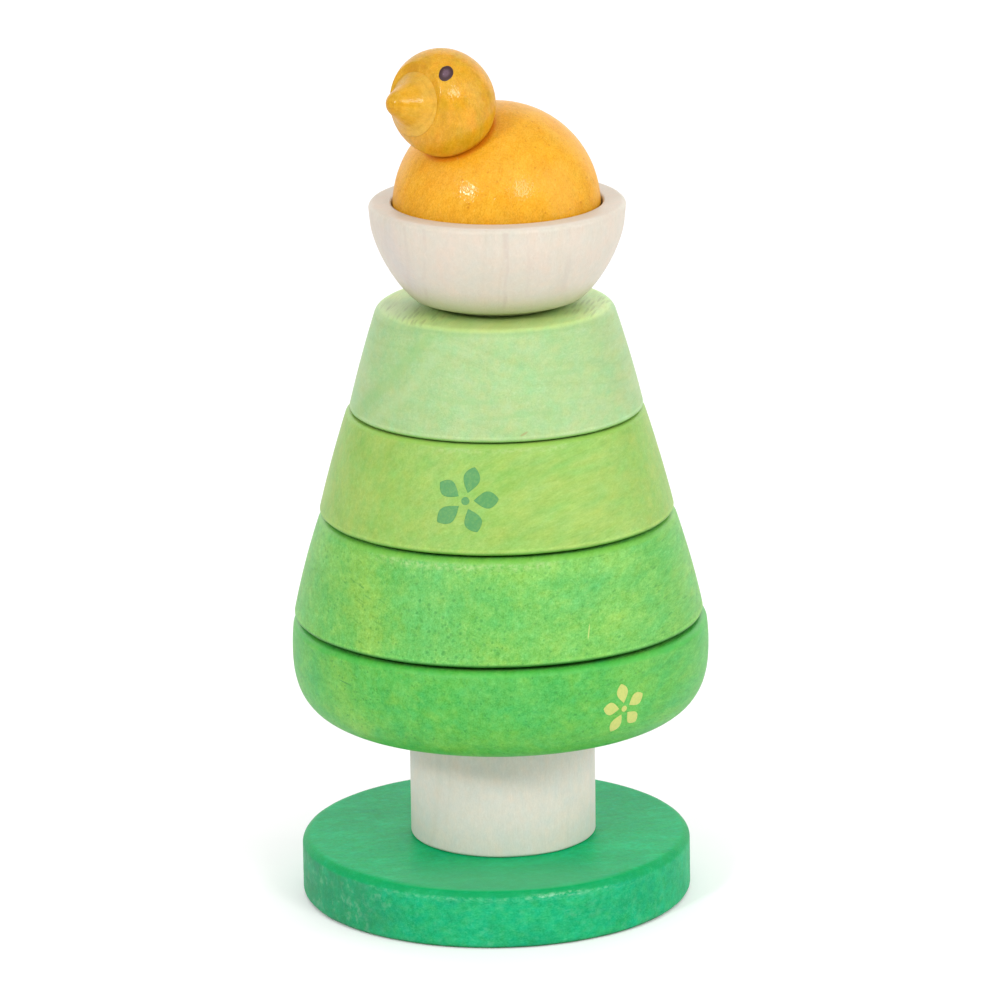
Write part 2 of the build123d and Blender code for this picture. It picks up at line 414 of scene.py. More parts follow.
SPLIT = 39.0   # the glued root of the peg and its standing part meet inside the trunk
shown["peg_root"] = Turned("centre_peg_root", [
    ("bottom", line((0, 3.0), (PEG_R, 3.0)), 0.8, 1.6),
    ("side", line((PEG_R, 3.0), (PEG_R, SPLIT)), 0.0, 2.5),
    ("top", line((PEG_R, SPLIT), (0, SPLIT)), 0.0, 1.6)],
    closed=False, seed=8.0, uneven=0.0, around=96)
shown["centre_peg"] = Turned("centre_peg_skin", [
    ("bottom", line((0, SPLIT), (PEG_R, SPLIT)), 0.0, 1.6),
    ("side", line((PEG_R, SPLIT), (PEG_R, PEG_TOP)), 2.5, 1.5),
    ("top", line((PEG_R, PEG_TOP), (0, PEG_TOP)), 0.0, 0.6)],
    closed=False, seed=8.0, uneven=0.03, around=128,
    shares={"side": 0.8, "top": 0.14, "bottom": 0.06})

floor_r = math.sqrt(CUP_R**2 - (BODY_Z - NEST_FLOOR)**2)
lip_r = math.sqrt(CUP_R**2 - (NEST_RIM - BODY_Z)**2)
mid = math.radians(-24.0)
bowl = superellipse(15.3, NEST_Z, 27.55, NEST_Z + 18.7, 1.47)


def hermite(p, mp, q, mq, n=60):
    """A smooth curve from p to q, with the slopes mp and mq there."""
    d, out = math.dist(p, q), []
    a, b = ([c * d / math.hypot(1, m) for c in (1, m)] for m in (mp, mq))
    for i in range(n + 1):
        t = i / n
        h = (2 * t**3 - 3 * t * t + 1, t**3 - 2 * t * t + t, -2 * t**3 + 3 * t * t, t**3 - t * t)
        out.append(tuple(h[0] * p[j] + h[1] * a[j] + h[2] * q[j] + h[3] * b[j] for j in (0, 1)))
    return out


# the bowl stands on a small flat and curves away from the ring under it
k = next(i for i, p in enumerate(bowl) if p[0] > 19.0)
slope = (bowl[k + 1][1] - bowl[k - 1][1]) / (bowl[k + 1][0] - bowl[k - 1][0])
turn_in = (15.0, NEST_Z + 0.8)
foot = (hermite((12.0, NEST_Z), 0.02, turn_in, 0.6) + hermite(turn_in, 0.6, bowl[k], slope)[1:]
        + bowl[k + 1:])
shown["nest_bowl"] = Turned("nest_bowl_skin", [
    ("bottom", line((BORE_R + CHAMFER, NEST_Z), foot[0]), 0.0, 1.2),
    ("side", foot + line(foot[-1], (27.95, NEST_RIM))[1:], 1.1, 0.7),
    ("top", line((27.95, NEST_RIM), (lip_r, NEST_RIM)), 0.6, 0.5),
    ("top", arc3((lip_r, NEST_RIM), (CUP_R * math.cos(mid), BODY_Z + CUP_R * math.sin(mid)),
                 (floor_r, NEST_FLOOR)), 0.4, 0.9),
    ("bore", line((floor_r, NEST_FLOOR), (BORE_R + CHAMFER, NEST_FLOOR)), 0.2, 1.2)]
    + bore(NEST_Z, NEST_FLOOR), seed=9.0, uneven=0.05,
    shares={"side": 0.52, "top": 0.3, "bottom": 0.08, "bore": 0.1})


# ---- star-shaped pieces: the bird's ball and head -----------------------------
def soft_min(a, b, k):
    h = max(k - abs(a - b), 0.0)
    return min(a, b) - h * h / (4 * k)


def star(name, centre, axis, radius, alphas, around=320, roll=0.0):
    """A closed mesh with one point on each ray from the centre. alphas are the angles from the
    axis; radius(direction) is the distance in mm."""
    axis = Vector(axis).normalized()
    q = Vector((0, 0, 1)).rotation_difference(axis)
    turn = Matrix.Rotation(roll, 4, "Z")
    m = q.to_matrix().to_4x4() @ turn
    verts, rows = [], []
    for a in alphas:
        if a < 1e-9 or a > math.pi - 1e-9:
            d = m @ Vector((0, 0, 1 if a < 1 else -1))
            rows.append([len(verts)] * around)
            verts.append(centre + d * radius(d))
            continue
        rows.append(list(range(len(verts), len(verts) + around)))
        for i in range(around):
            p = 2 * math.pi * i / around
            d = m @ Vector((math.sin(a) * math.cos(p), math.sin(a) * math.sin(p), math.cos(a)))
            verts.append(centre + d * radius(d))
    faces, uvs = [], []
    for k in range(len(alphas) - 1):
        v0, v1 = (0.004 + 0.992 * a / math.pi for a in (alphas[k], alphas[k + 1]))
        for i in range(around):
            j = (i + 1) % around
            u0, u1 = 0.004 + 0.992 * i / around, 0.004 + 0.992 * (i + 1) / around
            a, b, c, e = rows[k][i], rows[k][j], rows[k + 1][j], rows[k + 1][i]
            if a == b:
                faces.append((a, e, c))
                uvs += [((u0 + u1) / 2, v0), (u0, v1), (u1, v1)]
            elif c == e:
                faces.append((a, e, b))
                uvs += [(u0, v0), ((u0 + u1) / 2, v1), (u1, v0)]
            else:
                faces.append((a, e, c, b))
                uvs += [(u0, v0), (u0, v1), (u1, v1), (u1, v0)]
    return make_mesh(name, verts, faces, uvs)


def plane_distance(centre, d, point, normal):
    """Distance along d from the centre to a plane, or a large number where d misses it."""
    c = d.dot(normal)
    return (point - centre).dot(normal) / c if c > 1e-6 else 1e6


body_c = Vector((SHIFT["bird_body"], 0, BODY_Z))
neck_point = Vector((0, 0, BODY_Z)) + NECK * NECK_FACE


def body_radius(d):
    r = BODY_R - 0.05 * ripple(12.0, *(d * BODY_R), 14.0)
    r = soft_min(r, plane_distance(body_c, d, neck_point, NECK), 0.25)
    return soft_min(r, plane_distance(body_c, d, Vector((0, 0, NEST_FLOOR)), Vector((0, 0, -1))),
                    0.6)


neck_a = math.acos(NECK_FACE / BODY_R)
alphas = ([neck_a * x for x in (0, 0.25, 0.5, 0.7, 0.84, 0.92, 0.965, 0.985, 1.0, 1.015, 1.035)]
          + [neck_a * 1.035 + (math.pi - neck_a * 1.035) * i / 170 for i in range(1, 171)])
body = star("bird_body_skin", body_c, NECK, body_radius, alphas, around=320, roll=0.6)

seat_point = HEAD_C - Vector((0, 0, BEAK_DROP)) + BEAK * BEAK_SEAT


def head_radius(d):
    """Egg shape, long along the neck, with the flats for the neck and the beak."""
    c = d.dot(NECK)
    r = 1.0 / math.sqrt(c * c / HEAD_LONG**2 + (1 - c * c) / HEAD_R**2)
    r -= 0.05 * ripple(15.0, *(d * HEAD_R), 9.0)
    r = soft_min(r, plane_distance(HEAD_C, d, neck_point, -NECK), 0.22)
    return soft_min(r, plane_distance(HEAD_C, d, seat_point, BEAK), 0.3)


seat_a = math.acos(BEAK_SEAT / 11.3)
alphas = ([seat_a * 0.88 * i / 14 for i in range(15)]
          + [seat_a * (0.88 + 0.24 * i / 26) for i in range(1, 27)]
          + [seat_a * 1.12 + (math.pi - seat_a * 1.12) * i / 170 for i in range(1, 171)])
head = star("bird_head_skin", HEAD_C, BEAK, head_radius, alphas, around=320)

# beak: flared foot, cone and ball-shaped tip, turned about its own axis
half = math.radians(30.3)
TIP_R = 2.9
FLARE = 1.8
shoulder_r = (18.85 - BEAK_SEAT - FLARE) * math.tan(half)
tip_c = 18.85 - BEAK_SEAT - TIP_R / math.sin(half)
join = (TIP_R * math.cos(half), tip_c + TIP_R * math.sin(half))
t60 = math.radians(60.0)
shown["bird_beak"] = Turned("bird_beak_skin", [
    ("bottom", line((0, -5.5), (2.5, -5.5)), 0.4, 0.8),
    ("bore", line((2.5, -5.5), (2.5, 0.0)), 0.0, 1.2),
    ("bottom", line((2.5, 0.0), (6.9, 0.0)), 0.0, 0.6),
    ("side", line((6.9, 0.0), (6.8, 0.12)), 0.1, 0.06),
    ("side", line((6.8, 0.12), (shoulder_r, FLARE)), 2.0, 0.2),
    ("side", line((shoulder_r, FLARE), join), 0.0, 0.2),
    ("side", arc3(join, (TIP_R * math.cos(t60), tip_c + TIP_R * math.sin(t60)),
                  (0.0, tip_c + TIP_R)), 0.0, 0.2)],
    closed=False, seed=13.0, uneven=0.035, origin=seat_point, axis=BEAK, around=160,
    shares={"side": 0.8, "top": 0.1, "bottom": 0.1, "bore": 0.1})
shown["neck_dowel"] = Turned("neck_dowel_skin", [
    ("bottom", line((0, 0), (3.0, 0)), 0.5, 0.8),
    ("side", line((3.0, 0), (3.0, 15.6)), 0.5, 1.2),
    ("top", line((3.0, 15.6), (0, 15.6)), 0.0, 0.8)],
    closed=False, seed=14.0, uneven=0.0, around=64,
    origin=Vector((0, 0, BODY_Z)) + NECK * (NECK_FACE - 9.0), axis=NECK)

BODIES = {"base_disc": "stand", "trunk": "stand", "centre_peg": "stand", "peg_root": "stand",
          "bottom_ring": "crown_bottom", "lower_ring": "crown_lower",
          "upper_ring": "crown_upper", "top_ring": "crown_top", "nest_bowl": "nest",
          "bird_body": "bird", "bird_head": "bird", "bird_beak": "bird", "neck_dowel": "bird"}

pieces = {"bird_body": body, "bird_head": head}
for node, turned in shown.items():
    pieces[node] = turned.build()
for node, o in pieces.items():
    if node in SHIFT and node != "bird_body":
        extra = BASE_X if node == "base_disc" else 0.0
        moved(o, SHIFT[node] + extra)
    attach(o, BODIES[node])
    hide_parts("centre_peg" if node == "peg_root" else node)


# ---- materials ----------------------------------------------------------------
def lin(r, g, b):
    """sRGB, 0 to 255, to linear."""
    def f(c):
        c /= 255
        return c / 12.92 if c <= 0.04045 else ((c + 0.055) / 1.055) ** 2.4
    return (f(r), f(g), f(b), 1.0)


class Mat:
    """Small helper for building a node tree."""

    def __init__(self, name):
        self.m = bpy.data.materials.new(name)
        self.m.use_nodes = True
        self.nt = self.m.node_tree
        self.nt.nodes.clear()
        self.out = self.node("ShaderNodeOutputMaterial")
        self.bsdf = self.node("ShaderNodeBsdfPrincipled")
        self.link(self.bsdf.outputs[0], self.out.inputs["Surface"])
        self.coord = self.node("ShaderNodeTexCoord")
        self.p = self.coord.outputs["Object"]

    def node(self, kind):
        return self.nt.nodes.new(kind)

    def link(self, a, b):
        self.nt.links.new(a, b)

    def put(self, socket, value):
        if isinstance(value, bpy.types.NodeSocket):
            self.link(value, socket)
        else:
            socket.default_value = value

    def math(self, op, a, b=0.0, c=0.0, clamp=False):
        n = self.node("ShaderNodeMath")
        n.operation, n.use_clamp = op, clamp
        for s, v in zip(n.inputs, (a, b, c)):
            self.put(s, v)
        return n.outputs[0]

    def dot(self, v, w):
        n = self.node("ShaderNodeVectorMath")
        n.operation = "DOT_PRODUCT"
        self.put(n.inputs[0], v)
        n.inputs[1].default_value = w
        return n.outputs["Value"]

    def vec(self, x, y, z):
        n = self.node("ShaderNodeCombineXYZ")
        for s, v in zip(n.inputs, (x, y, z)):
            self.put(s, v)
        return n.outputs[0]

    def scaled(self, v, s, offset=(0, 0, 0)):
        n = self.node("ShaderNodeMapping")
        self.put(n.inputs["Vector"], v)
        n.inputs["Scale"].default_value = s if isinstance(s, tuple) else (s, s, s)
        n.inputs["Location"].default_value = offset
        return n.outputs[0]

    def noise(self, v, scale=1.0, detail=2.0, rough=0.5, warp=0.0):
        n = self.node("ShaderNodeTexNoise")
        self.put(n.inputs["Vector"], v)
        n.inputs["Scale"].default_value = scale
        n.inputs["Detail"].default_value = detail
        n.inputs["Roughness"].default_value = rough
        n.inputs["Distortion"].default_value = warp
        return n.outputs[0]

    def cells(self, v, scale=1.0, random=1.0):
        n = self.node("ShaderNodeTexVoronoi")
        self.put(n.inputs["Vector"], v)
        n.inputs["Scale"].default_value = scale
        n.inputs["Randomness"].default_value = random
        return n.outputs["Distance"]

    def ramp(self, x, lo, hi, a=0.0, b=1.0, kind="SMOOTHSTEP"):
        n = self.node("ShaderNodeMapRange")
        n.interpolation_type = kind
        self.put(n.inputs["Value"], x)
        for key, v in (("From Min", lo), ("From Max", hi), ("To Min", a), ("To Max", b)):
            n.inputs[key].default_value = v
        return n.outputs[0]

    def mix(self, f, a, b, kind="MIX"):
        n = self.node("ShaderNodeMix")
        n.data_type, n.blend_type = "RGBA", kind
        self.put(n.inputs[0], f)
        self.put(n.inputs[6], a)
        self.put(n.inputs[7], b)
        return n.outputs[2]

    def wear(self):
        n = self.node("ShaderNodeAttribute")
        n.attribute_name = "wear"
        return n.outputs["Fac"]

    def swing(self, v, detail=2.0, rough=0.5, offset=(0, 0, 0), scale=(1, 1, 1), warp=0.0):
        """Noise about zero, mostly within -1 and 1."""
        n = self.noise(self.scaled(v, scale, offset), 1.0, detail, rough, warp)
        return self.math("MULTIPLY", self.math("SUBTRACT", n, 0.5), 4.5)

    def brightened(self, col, factor):
        n = self.node("ShaderNodeVectorMath")
        n.operation = "SCALE"
        self.put(n.inputs[0], col)
        self.put(n.inputs["Scale"], factor)
        return n.outputs[0]

    def toned(self, col, shade, hue):
        """Lightens by shade and warms by hue, both in steps that look even to the eye."""
        g = self.node("ShaderNodeGamma")
        self.put(g.inputs[0], col)
        g.inputs[1].default_value = 1 / 2.2
        both = self.node("ShaderNodeVectorMath")
        both.operation = "ADD"
        self.link(g.outputs[0], both.inputs[0])
        self.link(self.vec(self.math("ADD", shade, hue), shade,
                           self.math("SUBTRACT", shade, self.math("MULTIPLY", hue, 0.6))),
                  both.inputs[1])
        low = self.node("ShaderNodeVectorMath")
        low.operation = "MAXIMUM"
        self.link(both.outputs[0], low.inputs[0])
        low.inputs[1].default_value = (0.02, 0.02, 0.02)
        back = self.node("ShaderNodeGamma")
        self.link(low.outputs[0], back.inputs[0])
        back.inputs[1].default_value = 2.2
        return back.outputs[0]

    def up(self):
        """How far the surface faces up: 1 on a level top, 0 on an upright side."""
        n = self.node("ShaderNodeSeparateXYZ")
        self.link(self.coord.outputs["Normal"], n.inputs[0])
        return n.outputs[2]

    def xyz(self):
        """The place in mm, as three numbers."""
        n = self.node("ShaderNodeSeparateXYZ")
        self.link(self.scaled(self.p, 1000.0), n.inputs[0])
        return tuple(n.outputs)

    def times(self, *values):
        out = values[0]
        for v in values[1:]:
            out = self.math("MULTIPLY", out, v)
        return out

    def away(self, point):
        """Distance in mm from a point."""
        n = self.node("ShaderNodeVectorMath")
        n.operation = "DISTANCE"
        self.link(self.scaled(self.p, 1000.0), n.inputs[0])
        n.inputs[1].default_value = tuple(point)
        return n.outputs["Value"]

    def plane(self, normal, c, half, wobble=None, amount=0.0):
        """1 on the plane normal.p = c (in mm), fading to 0 half a mm-width away from it."""
        d = self.math("SUBTRACT", self.dot(self.scaled(self.p, 1000.0), normal), c)
        if wobble is not None:
            d = self.math("ADD", d, self.math("MULTIPLY", wobble, amount))
        return self.ramp(self.math("ABSOLUTE", d), half, 0.25 * half)

    def stain(self, a, b, radius, ragged):
        """Soft patch round the line from a to b (in mm), with an uneven rim."""
        t, off = self.along(a, b)
        near = self.math("DIVIDE", off, radius * MM)
        near = self.math("ADD", near, self.math("MULTIPLY", ragged, 0.28))
        return self.ramp(near, 1.0, 0.1)

    def streak(self, a, b, width, ends=0.35):
        """1 near the straight line from a to b (in mm), fading to 0 at width, thin at its ends."""
        t, off = self.along(a, b)
        taper = self.math("MULTIPLY", self.ramp(t, 0.0, ends), self.ramp(t, 1.0, 1.0 - ends))
        near = self.math("DIVIDE", off, width * MM)
        near = self.math("ADD", near, self.math("MULTIPLY", self.math("SUBTRACT", 1.0, taper), 0.6))
        return self.ramp(near, 1.0, 0.45)

    def along(self, a, b):
        """Place along the line from a to b (in mm), from 0 to 1, and distance from it in m."""
        pa, d = Vector(a) * MM, (Vector(b) - Vector(a)) * MM
        n = self.node("ShaderNodeVectorMath")
        n.operation = "SUBTRACT"
        self.put(n.inputs[0], self.p)
        n.inputs[1].default_value = pa
        rel = n.outputs[0]
        t = self.math("DIVIDE", self.dot(rel, tuple(d)), d.length_squared)
        t = self.math("ADD", t, 0.0, clamp=True)
        foot = self.node("ShaderNodeVectorMath")
        foot.operation = "SCALE"
        foot.inputs[0].default_value = d
        self.put(foot.inputs["Scale"], t)
        off = self.node("ShaderNodeVectorMath")
        off.operation = "DISTANCE"
        self.put(off.inputs[0], rel)
        self.put(off.inputs[1], foot.outputs[0])
        return t, off.outputs["Value"]

    def bump(self, height, distance, strength=1.0, normal=None):
        n = self.node("ShaderNodeBump")
        n.inputs["Strength"].default_value = strength
        n.inputs["Distance"].default_value = distance
        self.put(n.inputs["Height"], height)
        if normal is not None:
            self.link(normal, n.inputs["Normal"])
        return n.outputs[0]


def frame_of(grain):
    g = Vector(grain).normalized()
    h = Vector((0, 0, 1)).cross(g) if abs(g.z) < 0.9 else Vector((0, 1, 0)).cross(g)
    h.normalize()
    return g, h, g.cross(h)


def wood(name, base, warm, cool, dark, light, grain=(-0.3, -0.95, 0.0), pith=(60.0, -40.0),
         seed=(0.0, 0.0, 0.0), blotch=0.5, blotch_mm=11.0, cool_amount=0.5, tint=0.3, layer=0.3,
         layer_mm=1.7, fibre=0.03, grit=0.03, mottle=0.02, cloud=0.012, warmth=0.02, pores=0.4,
         pore_mm=(6.0, 0.62), vessels=0.0, specks=0.2, patches=0.3, wear=0.3, wear_color=None,
         painted_edge_shading=0.0, painted_edge_shading_color=None, rough=0.46, specular=0.45, stretch=1.0, painted_top_light=None,
         stains=(), painted_glints=(), painted_low_edge_shade=None, lacquer=0.0, tone=(1.0, 1.0, 1.0), after=None):
    """Stained or bare turned wood: uneven stain, growth layers, fibres and pores along the
    grain, rubbed edges; painted light and shade on the rounded top edge, the level top and the
    lowest edge, and painted highlights round the front. The pattern is a solid one, in the
    piece's own coordinates."""
    base, warm, cool, dark, light, wear_color, painted_edge_shading_color = (
        tuple(c * t for c, t in zip(colour, tone)) + (1.0,)
        for colour in (base, warm, cool, dark, light, wear_color or light, painted_edge_shading_color or warm))
    m = Mat(name)
    # coordinates in mm along the grain and across it
    place = m.scaled(m.vec(*(m.dot(m.p, tuple(1000 * c for c in axis))
                             for axis in frame_of(grain))), 1.0, seed)
    parts = m.node("ShaderNodeSeparateXYZ")
    m.put(parts.inputs[0], place)
    u, v, w = parts.outputs

    # uneven take-up of the stain: large soft patches and small streaks
    f = 1 / blotch_mm
    big = m.swing(place, 4.0, 0.62, scale=(0.5 * f, f, f), warp=0.4)
    cold = m.swing(place, 4.0, 0.62, (31.0, 17.0, 5.0), (0.7 * f, 1.2 * f, 1.2 * f), 0.4)
    small = m.swing(place, 2.0, 0.5, (13.1, 4.2, 7.7), (0.1 * stretch, 0.42, 0.42))
    broad = m.swing(place, 1.0, 0.5, (23.1, 24.2, 6.7), (0.05 * stretch, 0.2, 0.2))
    ragged = m.swing(place, 4.0, 0.6, (6.0, 41.0, 21.0), (0.09, 0.16, 0.16))
    speck = m.swing(place, 2.0, 0.6, (3.1, 14.2, 17.7), (0.7, 1.5, 1.5))
    col = m.mix(m.math("MULTIPLY", m.ramp(big, -0.15, 0.75), blotch), base, warm)
    col = m.mix(m.math("MULTIPLY", m.ramp(cold, 0.0, 0.9), cool_amount), col, cool)
    col = m.mix(m.math("MULTIPLY", m.ramp(small, 0.0, 1.0), tint), col, warm)
    col = m.mix(m.math("MULTIPLY", m.ramp(small, 0.0, -1.0), tint), col, cool)
    col = m.mix(m.math("MULTIPLY", m.ramp(broad, 0.0, 1.0), patches), col, warm)
    col = m.mix(m.math("MULTIPLY", m.ramp(broad, 0.0, -1.0), patches), col, cool)
    for a, b, radius, colour, strength in stains:
        colour = tuple(c * t for c, t in zip(colour, tone)) + (1.0,)
        col = m.mix(m.math("MULTIPLY", m.stain(a, b, radius, ragged), strength), col, colour)
    col = m.mix(m.math("MULTIPLY", m.ramp(speck, 0.1, 1.1), specks), col, light)

    # growth layers: rough cylinders about the pith, which lies outside the piece
    wobble = m.noise(m.scaled(place, (0.012, 0.05, 0.05), (3.0, 9.0, 1.0)), 1.0, 2.0, 0.5)
    dv, dw = m.math("SUBTRACT", v, pith[0]), m.math("SUBTRACT", w, pith[1])
    rho = m.math("SQRT", m.math("ADD", m.math("MULTIPLY", dv, dv), m.math("MULTIPLY", dw, dw)))
    rho = m.math("ADD", rho, m.math("MULTIPLY", wobble, 9.0))
    bands = m.swing(m.vec(m.math("DIVIDE", rho, layer_mm), m.math("MULTIPLY", u, 0.01), 0.0),
                    3.0, 0.6)
    col = m.mix(m.math("MULTIPLY", m.ramp(bands, 0.0, 1.2), layer), col, dark)
    col = m.mix(m.math("MULTIPLY", m.ramp(bands, 0.0, -1.2), layer * 0.6), col, light)

    # how light each spot is: fibres, grit and soft mottling
    thread = m.swing(place, 2.0, 0.65, (5.0, 3.0, 8.0), (0.34 * stretch, 2.7, 2.7))
    dust = m.swing(place, 1.0, 0.6, (15.0, 23.0, 8.0), (2.2, 3.3, 3.3))
    patch_ = m.swing(place, 2.0, 0.6, (25.0, 3.0, 18.0), (0.3 * stretch, 0.85, 0.85))
    cloud_ = m.swing(place, 2.0, 0.5, (5.0, 13.0, 38.0), (0.09 * stretch, 0.2, 0.2))
    hue = m.swing(place, 1.0, 0.5, (45.0, 33.0, 8.0), (0.18 * stretch, 0.5, 0.5))
    shade = m.math("MULTIPLY", thread, fibre)
    for signal, amount in ((dust, grit), (patch_, mottle), (cloud_, cloud)):
        shade = m.math("ADD", shade, m.math("MULTIPLY", signal, amount))
    col = m.toned(col, shade, m.math("MULTIPLY", hue, warmth))

    # pores: short open channels along the grain, crowded in some layers
    cell = m.cells(m.vec(m.math("DIVIDE", u, pore_mm[0]),
                         m.math("ADD", m.math("DIVIDE", v, pore_mm[1]),
                                m.math("MULTIPLY", wobble, 1.2)),
                         m.math("DIVIDE", w, pore_mm[1])), 1.0)
    crowd = m.swing(place, 2.0, 0.5, (7.0, 7.0, 2.0), (0.03, 0.16, 0.16))
    pore = m.math("MULTIPLY", m.ramp(cell, 0.3, 0.12), m.ramp(crowd, -0.7, 0.7, 0.25, 1.0))
    pore = m.math("MULTIPLY", pore, m.ramp(dust, -0.8, 0.6, 0.2, 1.0))
    col = m.mix(m.math("MULTIPLY", pore, pores), col, dark)
    if vessels:      # a few long wide channels
        wide = m.cells(m.vec(m.math("DIVIDE", u, 9.0), m.math("DIVIDE", v, 1.35),
                             m.math("DIVIDE", w, 1.35)), 1.0)
        wide = m.math("MULTIPLY", m.ramp(wide, 0.27, 0.1), m.ramp(crowd, -0.9, 0.5, 0.2, 1.0))
        col = m.mix(m.math("MULTIPLY", wide, vessels), col, dark)

    # rubbed edges, and painted light and shade on the rounding between side and top
    if wear or painted_edge_shading:
        edge = m.wear()
        rub = m.swing(place, 4.0, 0.65, (2.0, 8.0, 3.0), (0.45, 0.45, 0.45))
        rubbed = m.math("MULTIPLY", m.ramp(edge, 0.0, 0.7), m.ramp(rub, -1.2, 0.5, 0.35, 1.0))
        col = m.mix(m.math("MULTIPLY", rubbed, wear), col, wear_color)
        edge_shading_mask = m.math("MULTIPLY", m.ramp(edge, 0.0, -0.8), m.ramp(rub, 1.4, -0.4, 0.4, 1.0))
        col = m.mix(m.math("MULTIPLY", edge_shading_mask, painted_edge_shading), col, painted_edge_shading_color)

    if painted_top_light:     # painted light and shade: the level top made lighter or darker for how light falls on it
        level = m.node("ShaderNodeVectorMath")
        level.operation = "MULTIPLY"
        m.link(col, level.inputs[0])
        level.inputs[1].default_value = painted_top_light
        col = m.mix(m.ramp(m.up(), 0.7, 0.97), col, level.outputs[0])
    if painted_low_edge_shade:     # painted shade along the lowest edge, where the piece sits on the one below or on the floor
        z, factor = painted_low_edge_shade
        x, y, zz = m.xyz()
        shaded_low_edge = m.node("ShaderNodeVectorMath")
        shaded_low_edge.operation = "MULTIPLY"
        m.link(col, shaded_low_edge.inputs[0])
        shaded_low_edge.inputs[1].default_value = factor
        col = m.mix(m.ramp(zz, z + 0.9, z + 0.4), col, shaded_low_edge.outputs[0])
        if z > 0:    # and a slightly lighter line just above it
            off = m.math("ABSOLUTE", m.math("SUBTRACT", zz, z + 1.1))
            col = m.mix(m.ramp(off, 0.4, 0.05), col, m.brightened(col, 1.11))
    for z, half, lo, hi, colour, strength in painted_glints:     # painted highlights: broken pale lines round the front
        x, y, zz = m.xyz()
        colour = tuple(c * t for c, t in zip(colour, tone)) + (1.0,)
        off = m.math("ADD", m.math("SUBTRACT", zz, z), m.math("MULTIPLY", ragged, 0.16))
        bit = m.swing(m.scaled(m.p, 1000.0), 3.0, 0.65, (z, 4.0, 7.0), (0.8, 0.8, 1.2))
        glint_line = m.times(m.ramp(m.math("ABSOLUTE", off), half, 0.0), m.ramp(y, 4.0, -8.0),
                        m.ramp(x, lo - 3.0, lo + 3.0), m.ramp(x, hi + 3.0, hi - 3.0),
                        m.ramp(bit, -0.5, 1.0))
        col = m.mix(m.math("MULTIPLY", glint_line, strength), col, colour)
    if after:
        col = after(m, col, place)
    m.link(col, m.bsdf.inputs["Base Color"])

    # satin finish, a little rougher in the pores
    r = m.math("ADD", rough, m.math("MULTIPLY", thread, 0.03))
    r = m.math("ADD", r, m.math("MULTIPLY", pore, 0.12), clamp=True)
    m.link(r, m.bsdf.inputs["Roughness"])
    height = m.math("SUBTRACT", m.math("MULTIPLY", thread, 0.35), pore)
    height = m.math("ADD", height, m.math("MULTIPLY", dust, 0.2))
    fine = m.bump(height, 0.00004, 0.8)
    m.link(fine, m.bsdf.inputs["Normal"])
    m.bsdf.inputs["Specular IOR Level"].default_value = specular
    if lacquer:      # a thin clear coat, uneven over the grain
        grains = m.swing(place, 1.0, 0.6, (15.0, 3.0, 28.0), (1.2, 1.7, 1.7))
        lumps = m.math("SUBTRACT", m.math("MULTIPLY", grains, 0.5), m.math("MULTIPLY", pore, 1.5))
        m.link(m.bump(lumps, 0.000036, 1.0), m.bsdf.inputs["Coat Normal"])
        m.bsdf.inputs["Coat Weight"].default_value = lacquer
        m.bsdf.inputs["Coat IOR"].default_value = 2.2
        m.bsdf.inputs["Coat Roughness"].default_value = 0.12
    return m.m


def marks(items, tone, touch=None):
    """Scratches and dark vessel lines: (start, end, width, colour, strength), in mm; then the
    piece's own finishing touch."""
    def tint(*colour):
        return tuple(c * t for c, t in zip(lin(*colour), tone)) + (1.0,)

    def after(m, col, place):
        for a, b, width, colour, strength in items:
            colour = tuple(c * t for c, t in zip(colour, tone)) + (1.0,)
            col = m.mix(m.math("MULTIPLY", m.streak(a, b, width), strength), col, colour)
        return touch(m, col, place, tint) if touch else col
    return after


def base_touch(m, col, place, tint):
    """Pale speckle on the side, in loose crowds; the left side darker; painted light on the front of
    the level top.
    """
    x, y, z = m.xyz()
    side = m.ramp(m.up(), 0.45, 0.1)
    dots = m.swing(place, 3.0, 0.6, (9.0, 2.0, 5.0), (0.36, 0.5, 0.5))
    crowd = m.swing(place, 2.0, 0.55, (1.0, 6.0, 3.0), (0.13, 0.2, 0.2))
    left = m.times(side, m.ramp(x, -20.0, -31.0), m.ramp(y, 2.0, -8.0))
    col = m.mix(m.times(left, m.ramp(crowd, 1.0, -0.9, 0.5, 1.0), 0.55), col, tint(44, 132, 90))
    # painted light: the front of the level top made lighter
    front = m.times(m.ramp(m.up(), 0.8, 0.97), m.ramp(y, -16.0, -36.0),
                    m.ramp(m.math("ABSOLUTE", x), 34.0, 12.0))
    col = m.mix(m.times(front, 0.5), col, tint(84, 194, 138))
    pale = m.times(side, m.ramp(dots, -0.1, 1.3), m.ramp(crowd, -0.7, 0.7, 0.1, 1.0))
    col = m.mix(m.times(pale, 0.3), col, tint(96, 208, 158))
    return m.mix(m.times(left, m.ramp(dots, -0.1, 1.1), m.ramp(crowd, -0.9, 0.5, 0.15, 1.0), 0.2),
                 col, tint(128, 190, 158))


